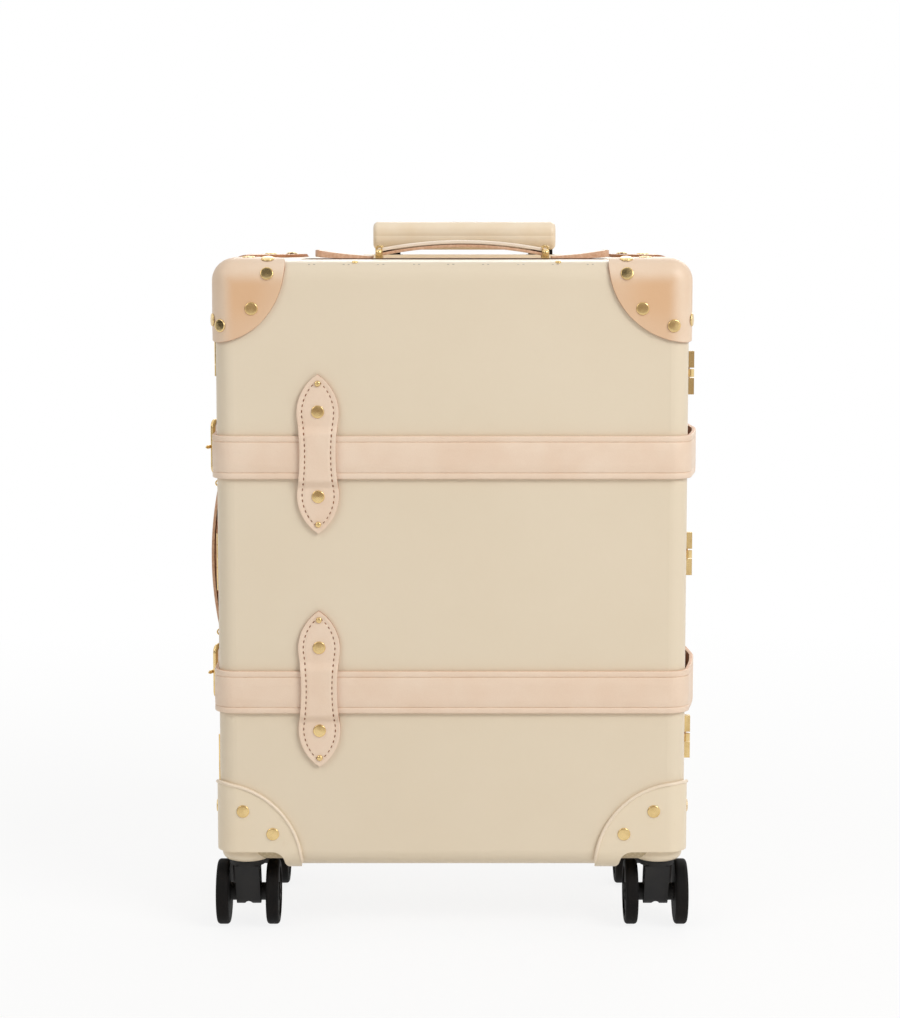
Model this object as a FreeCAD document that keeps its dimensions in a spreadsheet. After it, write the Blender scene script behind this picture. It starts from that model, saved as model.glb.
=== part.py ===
# Carry-on suitcase: a two-shell fibreboard trunk on four twin-wheel casters.
# Frame: +Z up, +X to the viewer's right, the lid faces -Y, origin on the floor under the middle.
# Sizes are millimetres. The lid (front shell) swings on hinges at the left side, the base (rear
# shell) carries the pull handle, the carry handles, the latches and the strap buckles.
import FreeCAD, Part
import math
import os
import re
import Sketcher
from FreeCAD import Placement, Rotation, Vector

DRIVING_SIZES = {
    # The trunk
    "body_width": 362.0,
    "body_height": 470.0,
    "lid_depth": 75.0,
    "base_depth": 115.0,
    "wall": 2.6,
    "corner_radius": 15.0,
    "edge_radius": 14.5,
    "seam_gap": 0.4,
    "rim_thick": 3.0,
    "rim_reach": 5.0,
    "rim_seat": 12.0,
    "rim_clearance": 0.4,
    "lining_thick": 1.2,
    "lining_gap": 0.3,
    # Clearances that many pieces share
    "seat_gap": 0.02,
    "side_gap": 0.3,
    "running_clearance": 0.05,
    "overshoot": 1.0,
    # Leather corners and wheel housings
    "cap_thick": 2.4,
    "cap_reach": 59.0,
    "cap_shift": 4.0,
    "housing_reach": 67.0,
    "housing_shift": 3.0,
    "housing_thick": 3.0,
    "well_roof": 41.0,
    "well_mouth": 60.0,
    "well_height": 12.6,
    "well_lip": 4.0,
    "boss_diameter": 39.0,
    "boss_lift": 2.5,
    "boss_round": 6.0,
    # Casters
    "caster_inset_side": 20.0,
    "caster_inset_face": 22.0,
    "caster_trail": 12.0,
    "stem_diameter": 12.0,
    "stem_depth": 9.0,
    "wheel_diameter": 51.5,
    "wheel_gap": 2.5,
    "wheel_width": 10.0,
    "wheel_inside": 14.6,
    "wheel_round": 2.6,
    "wheel_dish_depth": 1.2,
    "tyre_depth": 6.0,
    "axle_diameter": 5.0,
    "fork_width": 19.0,
    "fork_head_diameter": 27.0,
    "fork_head_thick": 4.0,
    "fork_shoulder": 1.0,
    "fork_eye_radius": 9.4,
    "fork_groove_diameter": 6.0,
    "fork_gap": 0.4,
    "stub_diameter": 14.0,
    # Straps, their pads and rivets
    "strap_width": 33.0,
    "strap_thick": 3.2,
    "strap_upper_offset": 86.0,
    "strap_lower_offset": -96.0,
    "strap_gap": 0.3,
    "strap_bow": 4.0,
    "strap_cut": 0.4,
    "tail_thick": 2.6,
    "tail_length": 92.0,
    "tail_lead": 4.0,
    "keeper_width": 10.0,
    "keeper_thick": 1.8,
    "keeper_setback": 61.0,
    "pad_length": 122.0,
    "pad_width": 32.0,
    "pad_waist": 27.6,
    "pad_thick": 3.0,
    "pad_offset": -102.5,
    "pad_rise": 2.5,
    "pad_shoulder_pitch": 57.0,
    "pad_point_fullness": 5.0,
    "pad_ramp": 7.4,
    "pad_rivet_gap": 0.5,
    "pad_pin_inset": 7.0,
    "rivet_diameter": 10.0,
    "rivet_height": 1.5,
    "pin_rivet_diameter": 4.6,
    "pin_rivet_height": 1.9,
    # Buckles
    "buckle_wire": 4.0,
    "buckle_side_gap": 1.5,
    "buckle_length": 26.0,
    "buckle_lean": 5.2,
    "buckle_setback": 8.5,
    "buckle_bend": 4.8,
    "loop_wall": 1.6,
    "prong_diameter": 3.0,
    "prong_slot": 6.0,
    "prong_clearance": 0.09,
    "prong_eye_wall": 1.1,
    "prong_overhang": 5.0,
    # Carry handles
    "handle_offset": 8.0,
    "top_handle_setback": 28.0,
    "side_handle_setback": 50.0,
    "side_handle_drop": 7.0,
    "handle_span": 132.0,
    "side_handle_span": 122.0,
    "handle_width": 24.0,
    "handle_thick": 5.5,
    "handle_rise": 7.0,
    "handle_pin_height": 5.0,
    "handle_pin_diameter": 3.2,
    "handle_ball_diameter": 5.6,
    "handle_eye_radius": 3.0,
    "handle_travel": 3.0,
    "lug_thick": 1.5,
    "lug_wall": 1.2,
    "lug_foot": 0.8,
    "tab_gap": 5.0,
    "tab_length": 46.0,
    "tab_flat": 19.0,
    "tab_width": 26.0,
    "tab_thick": 4.2,
    "tab_inner_thick": 2.1,
    "tab_lift": 5.0,
    # Pull handle
    "trolley_inset": 37.0,
    "trolley_spacing": 124.0,
    "trolley_offset": 10.0,
    "sleeve_long": 26.0,
    "sleeve_short": 17.0,
    "tube_wall": 1.2,
    "tube_clearance": 0.4,
    "stage_step": 8.0,
    "foot_floor": 16.0,
    "foot_margin": 13.0,
    "foot_round": 6.0,
    "bezel_thick": 2.4,
    "bezel_margin": 7.0,
    "bezel_side": 5.0,
    "bezel_round": 9.5,
    "grip_overhang": 12.0,
    "grip_depth": 30.0,
    "grip_height": 22.5,
    "grip_flat": 15.0,
    "grip_shoulder_bulge": 2.1,
    "grip_gap": 6.4,
    "grip_end_round": 4.0,
    "tube_insert": 9.0,
    "button_length": 26.0,
    "button_width": 11.0,
    "button_height": 7.0,
    "button_round": 4.0,
    "button_travel": 2.5,
    # Latches
    "latch_height": 34.0,
    "latch_upper_offset": 147.0,
    "latch_middle_offset": 4.0,
    "latch_lower_offset": -143.0,
    "latch_plate_thick": 2.0,
    "latch_plate_long": 26.0,
    "latch_seam_gap": 2.0,
    "latch_lever_thick": 3.4,
    "latch_reach": 14.0,
    "latch_jaw_height": 8.4,
    "latch_jaw_depth": 6.0,
    "latch_jaw_gap": 2.4,
    "latch_tongue_width": 6.0,
    "latch_tongue_reach": 7.0,
    "latch_tongue_gap": 1.0,
    "latch_roll_radius": 3.0,
    "latch_ear": 4.0,
    "latch_pivot_radius": 2.6,
    "latch_pin_radius": 1.3,
    "latch_pivot_inset": 3.6,
    # Hinges
    "hinge_height": 46.0,
    "hinge_upper_drop": 69.0,
    "hinge_middle_drop": 5.0,
    "hinge_lower_rise": 67.0,
    "hinge_offset": 4.2,
    "hinge_leaf_thick": 1.7,
    "hinge_leaf_long": 17.0,
    "hinge_barrel_radius": 2.6,
    "hinge_pin_radius": 1.3,
}

doc = FreeCAD.newDocument("CarryOnSuitcase")


def make_sheet():
    """The spreadsheet that holds every driving dimension, one alias per row."""
    sheet = doc.addObject("Spreadsheet::Sheet", "Dims")
    for row, (alias, value) in enumerate(DRIVING_SIZES.items(), start=1):
        sheet.set(f"A{row}", alias)
        sheet.set(f"B{row}", str(value))
        sheet.setAlias(f"B{row}", alias)
    doc.recompute()
    return sheet


class Sizes:
    """Reads the sheet's cells as plain numbers, such as size.wall."""

    def __init__(self, sheet):
        self._sheet = sheet

    def __getattr__(self, alias):
        return float(self._sheet.get(alias))


sheet = make_sheet()
size = Sizes(sheet)
subparts = []


# Small helpers: expressions, primitives and booleans


def formula(text):
    """An expression in which each size's name is read from the sheet."""
    return re.sub(r"[a-z][a-z_]*", lambda word: f"Dims.{word.group(0)}", text)


def bind(thing, **properties):
    """Binds properties to formulas of the sheet's sizes. Double underscores stand for dots."""
    for name, text in properties.items():
        thing.setExpression(name.replace("__", "."), formula(text))
    return thing


def box(name, x, y, z, long, deep, high):
    """A Part::Box from its lowest corner and its three lengths, all formulas."""
    made = doc.addObject("Part::Box", name)
    bind(made, Length=long, Width=deep, Height=high)
    bind(made, Placement__Base__x=x, Placement__Base__y=y, Placement__Base__z=z)
    return made


AXIS_TURN = {
    "X": Rotation(Vector(0, 1, 0), 90),
    "Y": Rotation(Vector(1, 0, 0), -90),
    "Z": Rotation(),
}


def cylinder(name, axis, x, y, z, radius, high):
    """A Part::Cylinder that starts at x, y, z and runs along +axis."""
    made = doc.addObject("Part::Cylinder", name)
    made.Placement = Placement(Vector(), AXIS_TURN[axis])
    bind(made, Radius=radius, Height=high)
    bind(made, Placement__Base__x=x, Placement__Base__y=y, Placement__Base__z=z)
    return made


def sphere(name, x, y, z, radius):
    """A Part::Sphere round x, y, z."""
    made = doc.addObject("Part::Sphere", name)
    bind(made, Radius=radius)
    bind(made, Placement__Base__x=x, Placement__Base__y=y, Placement__Base__z=z)
    return made


def cut(name, base, *tools):
    """base without the tools."""
    tool = tools[0] if len(tools) == 1 else fuse(name + "_tools", *tools)
    made = doc.addObject("Part::Cut", name)
    made.Base, made.Tool = base, tool
    doc.recompute()
    return made


def fuse(name, *shapes):
    """All the shapes in one."""
    made = doc.addObject("Part::MultiFuse", name)
    made.Shapes = list(shapes)
    doc.recompute()
    return made


def common(name, *shapes):
    """What all the shapes share."""
    made = doc.addObject("Part::MultiCommon", name)
    made.Shapes = list(shapes)
    doc.recompute()
    return made


def fillet(name, base, radius, chosen):
    """Rounds the edges of base for which chosen(edge) is true."""
    doc.recompute()
    made = doc.addObject("Part::Fillet", name)
    made.Base = base
    numbers = [i for i, e in enumerate(base.Shape.Edges, start=1) if chosen(e)]
    made.Edges = [(i, radius, radius) for i in numbers]
    doc.recompute()
    return made


def feature(name, shape):
    """A Part::Feature for a shape that no primitive gives."""
    made = doc.addObject("Part::Feature", name)
    made.Shape = shape
    return made


def line(start, end):
    """A straight edge."""
    return Part.LineSegment(start, end).toShape()


def arc(start, through, end):
    """A circular edge."""
    return Part.Arc(start, through, end).toShape()


def block(low, high):
    """A plain box between two corners."""
    span = high - low
    return Part.makeBox(span.x, span.y, span.z, low)


def group(name, *shapes):
    """Separate solids kept as one compound."""
    made = doc.addObject("Part::Compound", name)
    made.Links = list(shapes)
    doc.recompute()
    return made


def keep(made, label):
    """Registers a sub-part under the name that its file gets."""
    made.Label = label
    subparts.append(made)
    return made


def along(axis):
    """True for straight edges that run along an axis."""

    def test(edge):
        if edge.Curve.TypeId != "Part::GeomLine":
            return False
        return abs(abs(edge.Curve.Direction.dot(axis)) - 1) < 1e-6

    return test


def on_plane(axis, places):
    """True for edges that lie wholly in a plane square to axis at one of the places."""

    def test(edge):
        spots = [v.Point.dot(axis) for v in edge.Vertexes]
        return any(all(abs(s - p) < 1e-4 for s in spots) for p in places)

    return test


X, Y, Z = Vector(1, 0, 0), Vector(0, 1, 0), Vector(0, 0, 1)
SIDES = {"left": -1, "right": 1}

# Key places, as numbers for shapes made in code and as formulas for bound features

half_width = size.body_width / 2
half_depth = (size.lid_depth + size.base_depth) / 2
seam = size.lid_depth - half_depth
bottom = size.wheel_diameter + size.wheel_gap
top = bottom + size.body_height
middle_height = bottom + size.body_height / 2
HALF_DEPTH = "(lid_depth + base_depth) / 2"
SEAM = "(lid_depth - base_depth) / 2"
BOTTOM = "(wheel_diameter + wheel_gap)"
TOP = f"({BOTTOM} + body_height)"
MIDDLE_HEIGHT = f"({BOTTOM} + body_height / 2)"


# The rounded trunk: one block, grown or shrunk, gives shells, linings and corner pieces


def trunk_block(name, grow_text, grow):
    """The closed trunk's outer form, grown by a wall. grow is grow_text as a number."""
    plain = box(
        name + "_block",
        f"-body_width / 2 - ({grow_text})",
        f"-{HALF_DEPTH} - ({grow_text})",
        f"{BOTTOM} - ({grow_text})",
        f"body_width + 2 * ({grow_text})",
        f"lid_depth + base_depth + 2 * ({grow_text})",
        f"body_height + 2 * ({grow_text})",
    )
    corners = fillet(name + "_corners", plain, size.corner_radius + grow, along(Y))
    faces = on_plane(Y, (-half_depth - grow, half_depth + grow))
    return fillet(name, corners, size.edge_radius + grow, faces)


def depth_slice(name, low, high):
    """Everything between two depths, wider and taller than the trunk."""
    return box(
        name, "-body_width", low, f"{BOTTOM} - body_height", "2 * body_width",
        f"({high}) - ({low})", "3 * body_height",
    )


outer_form = trunk_block("outer_form", "0", 0.0)
cavity_form = trunk_block("cavity_form", "-wall", -size.wall)
skin_form = trunk_block("skin_form", "cap_thick", size.cap_thick)

FRONT_LIMIT = "-lid_depth - base_depth"
BACK_LIMIT = "lid_depth + base_depth"
LID_EDGE = f"{SEAM} - seam_gap / 2"
BASE_EDGE = f"{SEAM} + seam_gap / 2"
lid_room = depth_slice("lid_room", FRONT_LIMIT, LID_EDGE)
base_room = depth_slice("base_room", BASE_EDGE, BACK_LIMIT)


# Wheel wells: each bottom corner is cut back under an S-shaped edge


def well_outline(extra, spot):
    """The well's side view as a face, grown by extra. spot(u, v) places u inwards and v upwards.

    Its edge is an S of two arcs, from level at the roof to level again below the trunk.
    """
    start, reach = size.well_roof, size.well_mouth + extra
    roof, lip = size.well_height + extra, -size.well_lip
    outside = lip - size.well_height
    run, rise = (reach - start) / 2, (roof - lip) / 2
    radius = (run * run + rise * rise) / (2 * rise)
    half_turn = math.asin(run / radius) / 2
    across, down = radius * math.sin(half_turn), radius * (1 - math.cos(half_turn))
    roof_end, middle, mouth = spot(start, roof), spot(start + run, roof - rise), spot(reach, lip)
    walls = [mouth, spot(reach, outside), spot(outside, outside), spot(outside, roof), roof_end]
    edges = [
        arc(roof_end, spot(start + across, roof - down), middle),
        arc(middle, spot(reach - across, lip + down), mouth),
    ]
    edges += [line(p, q) for p, q in zip(walls, walls[1:])]
    return Part.Face(Part.Wire(edges))


def wheel_well(name, side, face, extra):
    """The well at one bottom corner, as the overlap of its front view and its side view."""
    x, y, reach = side * half_width, face * half_depth, 2 * size.well_mouth
    front_view = well_outline(extra, lambda u, v: Vector(x - side * u, y - reach / 2, bottom + v))
    side_view = well_outline(extra, lambda u, v: Vector(x - reach / 2, y - face * u, bottom + v))
    return feature(name, front_view.extrude(Y * reach).common(side_view.extrude(X * reach)))


CORNERS = [(where, side, face) for where, face in (("lid", -1), ("base", 1)) for side in SIDES]
wells = {}
grown_wells = {}
for where, side, face in CORNERS:
    key = (where, side)
    wells[key] = wheel_well(f"{where}_{side}_well", SIDES[side], face, 0.0)
    grown_wells[key] = wheel_well(f"{where}_{side}_well_wall", SIDES[side], face, size.housing_thick)


# Pull handle sleeves: rectangular tubes down the base, one inside the other

TROLLEY_Y = f"({HALF_DEPTH} - trolley_inset)"
TUBE_STEP = "2 * (tube_wall + tube_clearance)"
TUBE_SIZES = {
    "sleeve": ("sleeve_long", "sleeve_short"),
    "middle": (f"(sleeve_long - {TUBE_STEP})", f"(sleeve_short - {TUBE_STEP})"),
    "inner": (f"(sleeve_long - 2 * {TUBE_STEP})", f"(sleeve_short - 2 * {TUBE_STEP})"),
}
SLEEVE_FOOT = f"({BOTTOM} + wall + foot_floor)"


def tube_bar(name, side, long, deep, low, high):
    """A solid bar centred on one of the pull handle's two tubes."""
    x = f"trolley_offset + ({SIDES[side]}) * trolley_spacing / 2 - ({long}) / 2"
    y = f"{TROLLEY_Y} - ({deep}) / 2"
    return box(name, x, y, low, long, deep, f"({high}) - ({low})")


def tube_pair(label, kind, low, high):
    """A left and a right tube of one stage, as two solids."""
    long, deep = TUBE_SIZES[kind]
    pair = []
    for side in SIDES:
        outside = tube_bar(f"{label}_{side}_outside", side, long, deep, low, high)
        hollow = (f"({long} - 2 * tube_wall)", f"({deep} - 2 * tube_wall)")
        ends = (f"{low} - overshoot", f"{high} + overshoot")
        inside = tube_bar(f"{label}_{side}_inside", side, *hollow, *ends)
        pair.append(cut(f"{label}_{side}", outside, inside))
    return keep(group(label, *pair), label)


def sleeve_holes(name, clearance, low, high):
    """Two bars that clear the sleeves, to cut holes or sockets for them."""
    long, deep = (f"({t} + 2 * ({clearance}))" for t in TUBE_SIZES["sleeve"])
    return [tube_bar(f"{name}_{side}", side, long, deep, low, high) for side in SIDES]


# Shells, rim and linings

lid_half = common("lid_half", outer_form, lid_room)
base_half = common("base_half", outer_form, base_room)
lid_wells = [grown_wells["lid", s] for s in SIDES]
base_wells = [grown_wells["base", s] for s in SIDES]
ROOF = (f"{TOP} - 2 * edge_radius", f"{TOP} + overshoot")
shell_holes = sleeve_holes("shell_hole", "side_gap", *ROOF)
keep(cut("lid_shell_solid", lid_half, cavity_form, *lid_wells), "lid_shell")
keep(cut("base_shell_solid", base_half, cavity_form, *base_wells, *shell_holes), "base_shell")

rim_outer = trunk_block("rim_outer", "-wall - rim_clearance", -size.wall - size.rim_clearance)
rim_depth = size.wall + size.rim_clearance + size.rim_thick
rim_inner = trunk_block("rim_inner", "-wall - rim_clearance - rim_thick", -rim_depth)
rim_room = depth_slice("rim_room", f"{SEAM} - rim_reach", f"{SEAM} + rim_seat")
keep(cut("base_rim_solid", common("rim_band", rim_outer, rim_room), rim_inner), "base_rim")

lining_outer = trunk_block("lining_outer", "-wall - lining_gap", -size.wall - size.lining_gap)
lining_depth = size.wall + size.lining_gap + size.lining_thick
lining_inner = trunk_block("lining_inner", "-wall - lining_gap - lining_thick", -lining_depth)
lid_lining_room = depth_slice("lid_lining_room", FRONT_LIMIT, f"{SEAM} - rim_reach - lining_gap")
base_lining_room = depth_slice("base_lining_room", f"{SEAM} + rim_seat + lining_gap", BACK_LIMIT)
well_clearance = size.housing_thick + size.lining_gap
for where, room in (("lid", lid_lining_room), ("base", base_lining_room)):
    face = -1 if where == "lid" else 1
    tools = [
        wheel_well(f"{where}_{s}_lining_well", SIDES[s], face, well_clearance) for s in SIDES
    ]
    if where == "base":
        tools += sleeve_holes("lining_hole", "side_gap", *ROOF)
    tray = common(f"{where}_lining_tray", lining_outer, room)
    keep(cut(f"{where}_lining_solid", tray, lining_inner, *tools), f"{where}_lining")


# Leather corner caps on top, moulded wheel housings below


def corner_ball(name, side, face, height, reach, shift):
    """A ball at a corner of the trunk, which rounds a corner piece's outline.

    The pieces of a face sit off its middle by the shift, to the left in front and to the right behind.
    """
    x, y = f"({side}) * body_width / 2 + ({face}) * {shift}", f"({face}) * {HALF_DEPTH}"
    return sphere(name, x, y, height, reach)


CASTER_X = "(body_width / 2 - caster_inset_side)"
CASTER_Y = f"({HALF_DEPTH} - caster_inset_face)"
BOSS_FOOT = f"({BOTTOM} + boss_lift)"
for where, side, face in CORNERS:
    sign = SIDES[side]
    name = f"{where}_corner_{side}"
    ball = corner_ball(name + "_ball", sign, face, TOP, "cap_reach", "cap_shift")
    keep(cut(name + "_solid", common(name + "_skin", skin_form, ball), outer_form), name)

    name = f"{where}_wheel_housing_{side}"
    ball = corner_ball(name + "_ball", sign, face, BOTTOM, "housing_reach", "housing_shift")
    well, well_wall = wells[where, side], grown_wells[where, side]
    reach = fuse(name + "_reach", ball, well_wall)
    trunk = cut(name + "_trunk", outer_form, well_wall)
    skin = cut(name + "_skin", common(name + "_corner", skin_form, reach), trunk, well)
    x, y = f"({sign}) * {CASTER_X}", f"({face}) * {CASTER_Y}"
    boss_height = "well_height - boss_lift + housing_thick / 2"
    post = cylinder(name + "_post", "Z", x, y, BOSS_FOOT, "boss_diameter / 2", boss_height)
    foot = on_plane(Z, (bottom + size.boss_lift,))
    boss = fillet(name + "_boss", post, size.boss_round, foot)
    socket_radius = "stem_diameter / 2 + running_clearance"
    socket_height = "stem_depth + side_gap + overshoot"
    mouth = f"{BOSS_FOOT} - overshoot"
    socket = cylinder(name + "_socket", "Z", x, y, mouth, socket_radius, socket_height)
    keep(cut(name + "_solid", fuse(name + "_body", skin, boss), socket), name)


# Casters: a fork that swivels in the housing, an axle pin and two wheels

axle_height = size.wheel_diameter / 2
AXLE_HEIGHT = "wheel_diameter / 2"


def fork_profile(x, head_y, trail):
    """The fork's side view: its head's width above, tangent down to the eye round the axle."""
    head_z = bottom + size.boss_lift - size.fork_gap - size.fork_head_thick
    half_head = size.fork_head_diameter / 2 - size.fork_shoulder
    eye, radius = Vector(x, head_y + trail, axle_height), size.fork_eye_radius
    corners = [Vector(x, head_y - half_head, head_z), Vector(x, head_y + half_head, head_z)]
    touches = []
    for corner, turn in zip(corners, (1, -1)):
        offset = eye - corner
        reach = math.hypot(offset.y, offset.z)
        angle = math.atan2(-offset.z, -offset.y) + turn * math.acos(radius / reach)
        touches.append(eye + Vector(0, math.cos(angle), math.sin(angle)) * radius)
    low = eye - Vector(0, 0, radius)
    edges = [
        line(touches[0], corners[0]), line(*corners), line(corners[1], touches[1]),
        arc(touches[1], low, touches[0]),
    ]
    return Part.Face(Part.Wire(edges))


def wheel_body(name):
    """A wheel turned about its own Z axis: a tyre with rounded edges and a shallow dish each side."""
    body = doc.addObject("PartDesign::Body", name + "_body")
    sketch = body.newObject("Sketcher::SketchObject", name + "_profile")
    plane = next(f for f in body.Origin.OriginFeatures if f.Role == "XZ_Plane")
    sketch.AttachmentSupport = [(plane, "")]
    sketch.MapMode = "FlatFace"
    bore = size.axle_diameter / 2 + size.running_clearance
    corners = [(bore, 0), (size.wheel_diameter / 2, 0), (size.wheel_diameter / 2, size.wheel_width)]
    corners.append((bore, size.wheel_width))
    spots = [Vector(r, h, 0) for r, h in corners]
    for a, b in zip(spots, spots[1:] + spots[:1]):
        sketch.addGeometry(Part.LineSegment(a, b))
    for line in range(4):
        sketch.addConstraint(Sketcher.Constraint("Coincident", line, 2, (line + 1) % 4, 1))
    for line, kind in ((0, "Horizontal"), (1, "Vertical"), (2, "Horizontal"), (3, "Vertical")):
        sketch.addConstraint(Sketcher.Constraint(kind, line))
    places = (
        ("DistanceX", 0, 1, bore, "axle_diameter / 2 + running_clearance"),
        ("DistanceX", 0, 2, size.wheel_diameter / 2, "wheel_diameter / 2"),
        ("DistanceY", 2, 1, size.wheel_width, "wheel_width"),
    )
    for kind, line, end, value, text in places:
        number = sketch.addConstraint(Sketcher.Constraint(kind, -1, 1, line, end, value))
        sketch.setExpression(f"Constraints[{number}]", formula(text))
    sketch.addConstraint(Sketcher.Constraint("PointOnObject", 0, 1, -1))
    turned = body.newObject("PartDesign::Revolution", name + "_turned")
    turned.Profile = sketch
    turned.ReferenceAxis = (sketch, ["V_Axis"])
    turned.Angle = 360
    doc.recompute()
    rim = [
        f"Edge{i}" for i, e in enumerate(turned.Shape.Edges, start=1)
        if e.Curve.TypeId == "Part::GeomCircle" and e.Curve.Radius > size.wheel_diameter / 2 - 1e-3
    ]
    rounded = body.newObject("PartDesign::Fillet", name + "_rounded")
    rounded.Base = (turned, rim)
    bind(rounded, Radius="wheel_round")
    body.Tip = rounded
    doc.recompute()
    return body


def make_wheel(label, sign, x, y):
    """One wheel on the fork's side given by sign, with a dished outer face."""
    body = wheel_body(label)
    inside = f"({x}) + ({sign}) * (wheel_inside + wheel_width / 2) - wheel_width / 2"
    body.Placement = Placement(Vector(), AXIS_TURN["X"])
    bind(body, Placement__Base__x=inside, Placement__Base__y=y, Placement__Base__z=AXLE_HEIGHT)
    face = f"({x}) + ({sign}) * (wheel_inside + wheel_width)"
    low = f"{face} - wheel_dish_depth" if sign > 0 else face
    dish_radius = "wheel_diameter / 2 - tyre_depth"
    ring = cylinder(label + "_dish", "X", low, y, AXLE_HEIGHT, dish_radius, "wheel_dish_depth")
    hub = cylinder(label + "_hub", "X", low, y, AXLE_HEIGHT, "stub_diameter / 2", "wheel_dish_depth")
    return cut(label + "_solid", body, cut(label + "_groove", ring, hub))


for where, side, face in CORNERS:
    sign = SIDES[side]
    name = f"{'front' if where == 'lid' else 'rear'}_{side}"
    x, head_y = f"({sign}) * {CASTER_X}", f"({face}) * {CASTER_Y}"
    axle_y = f"{head_y} - ({face}) * caster_trail"
    real_x = sign * (half_width - size.caster_inset_side)
    real_y = face * (half_depth - size.caster_inset_face)

    profile = fork_profile(real_x - size.fork_width / 2, real_y, -face * size.caster_trail)
    leg = feature(f"{name}_leg", profile.extrude(X * size.fork_width))
    head_foot = f"{BOSS_FOOT} - fork_gap - fork_head_thick"
    head = cylinder(f"{name}_head", "Z", x, head_y, head_foot, "fork_head_diameter / 2", "fork_head_thick")
    stem = cylinder(
        f"{name}_stem", "Z", x, head_y, head_foot, "stem_diameter / 2",
        "fork_head_thick + fork_gap + stem_depth",
    )
    stub_reach = "(wheel_inside - side_gap)"
    stub = cylinder(
        f"{name}_stub", "X", f"{x} - {stub_reach}", axle_y, AXLE_HEIGHT, "stub_diameter / 2",
        f"2 * {stub_reach}",
    )
    groove = cylinder(
        f"{name}_groove", "Y", x, f"{axle_y} - 2 * fork_eye_radius", f"{AXLE_HEIGHT} - fork_eye_radius",
        "fork_groove_diameter / 2", "4 * fork_eye_radius",
    )
    pin_reach = "(wheel_inside + wheel_width - wheel_dish_depth - side_gap)"
    bore = cylinder(
        f"{name}_bore", "X", f"{x} - {pin_reach}", axle_y, AXLE_HEIGHT, "axle_diameter / 2",
        f"2 * {pin_reach}",
    )
    axle = cylinder(
        f"{name}_axle", "X", f"{x} - {pin_reach}", axle_y, AXLE_HEIGHT, "axle_diameter / 2",
        f"2 * {pin_reach}",
    )
    cast = cut(f"{name}_cast", fuse(f"{name}_fork_body", leg, head, stem, stub), groove, bore)
    keep(group(f"{name}_fork", cast, axle), f"caster_fork_{name}")
    for wheel_side, wheel_sign in SIDES.items():
        wheel = f"wheel_{name}_{wheel_side}"
        keep(make_wheel(wheel, wheel_sign, x, axle_y), wheel)


# Straps: each one is a band round the trunk, parted at the seam on both sides

STRAPS = {
    "upper": middle_height + size.strap_upper_offset,
    "lower": middle_height + size.strap_lower_offset,
}


def band_corner(x_sign, face, turn_from, turn_to, grow):
    """Three places on the strap's bend round one upright edge of the trunk."""
    radius = size.edge_radius
    centre = Vector(x_sign * (half_width - radius), face * (half_depth - radius), 0)
    turns = (turn_from, (turn_from + turn_to) / 2, turn_to)
    return [
        centre + Vector(x_sign * math.cos(a), face * math.sin(a), 0) * (radius + grow) for a in turns
    ]


def band_edges(face, grow):
    """The plan of one face of a half strap: hugs the left side and slants off the right side.

    It stands off the trunk by strap_bow where it meets the seam at the right.
    """
    end_y = seam + face * size.strap_cut / 2
    slant = math.atan2(size.strap_bow, abs(face * (half_depth - size.edge_radius) - end_y))
    left = band_corner(-1, face, 0.0, math.pi / 2, grow)
    right = band_corner(1, face, math.pi / 2, -slant, grow)
    start = Vector(-half_width - grow, end_y, 0)
    leave = Vector(math.sin(slant), -face * math.cos(slant), 0)
    end = right[2] + leave * (abs(end_y - right[2].y) / math.cos(slant))
    edges = [line(start, left[0]), arc(*left), line(left[2], right[0]), arc(*right), line(right[2], end)]
    return edges, start, end


def strap_band(name, face, height):
    """One half of a strap as a closed solid."""
    inner, inner_start, inner_end = band_edges(face, size.strap_gap)
    outer, outer_start, outer_end = band_edges(face, size.strap_gap + size.strap_thick)
    ends = [line(inner_start, outer_start), line(inner_end, outer_end)]
    plan = Part.Face(Part.Wire(Part.__sortEdges__(inner + outer + ends)))
    solid = plan.extrude(Z * size.strap_width)
    solid.translate(Z * (height - size.strap_width / 2))
    return feature(name, solid)


# The buckle's two bars and the strap's end lie along the left side, seen in plan

bar_radius = size.buckle_wire / 2
loop_radius = bar_radius + size.side_gap + size.loop_wall
bar_x = -half_width - size.strap_gap - loop_radius
bar_y = seam + size.buckle_length + size.buckle_setback
front_bar_x = bar_x - size.buckle_lean
front_bar_y = bar_y - size.buckle_length
strap_face = -half_width - size.strap_gap - size.strap_thick
tail_over = bar_x - loop_radius - size.side_gap - size.tail_thick / 2
tail_rest = strap_face - size.side_gap - size.tail_thick / 2


def ribbon(spots, thick):
    """A plan of constant thickness along a polyline, with mitred bends."""
    sides = ([], [])
    for i, spot in enumerate(spots):
        before = (spot - spots[i - 1]).normalize() if i else None
        after = (spots[i + 1] - spot).normalize() if i + 1 < len(spots) else None
        first = before or after
        run = (first + (after or before)).normalize()
        across = Vector(-run.y, run.x, 0)
        stretch = 1 / across.dot(Vector(-first.y, first.x, 0))
        for side, sign in zip(sides, (1, -1)):
            side.append(spot + across * (sign * stretch * thick / 2))
    loop = sides[0] + sides[1][::-1]
    return Part.Face(Part.makePolygon(loop + loop[:1]))


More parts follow.
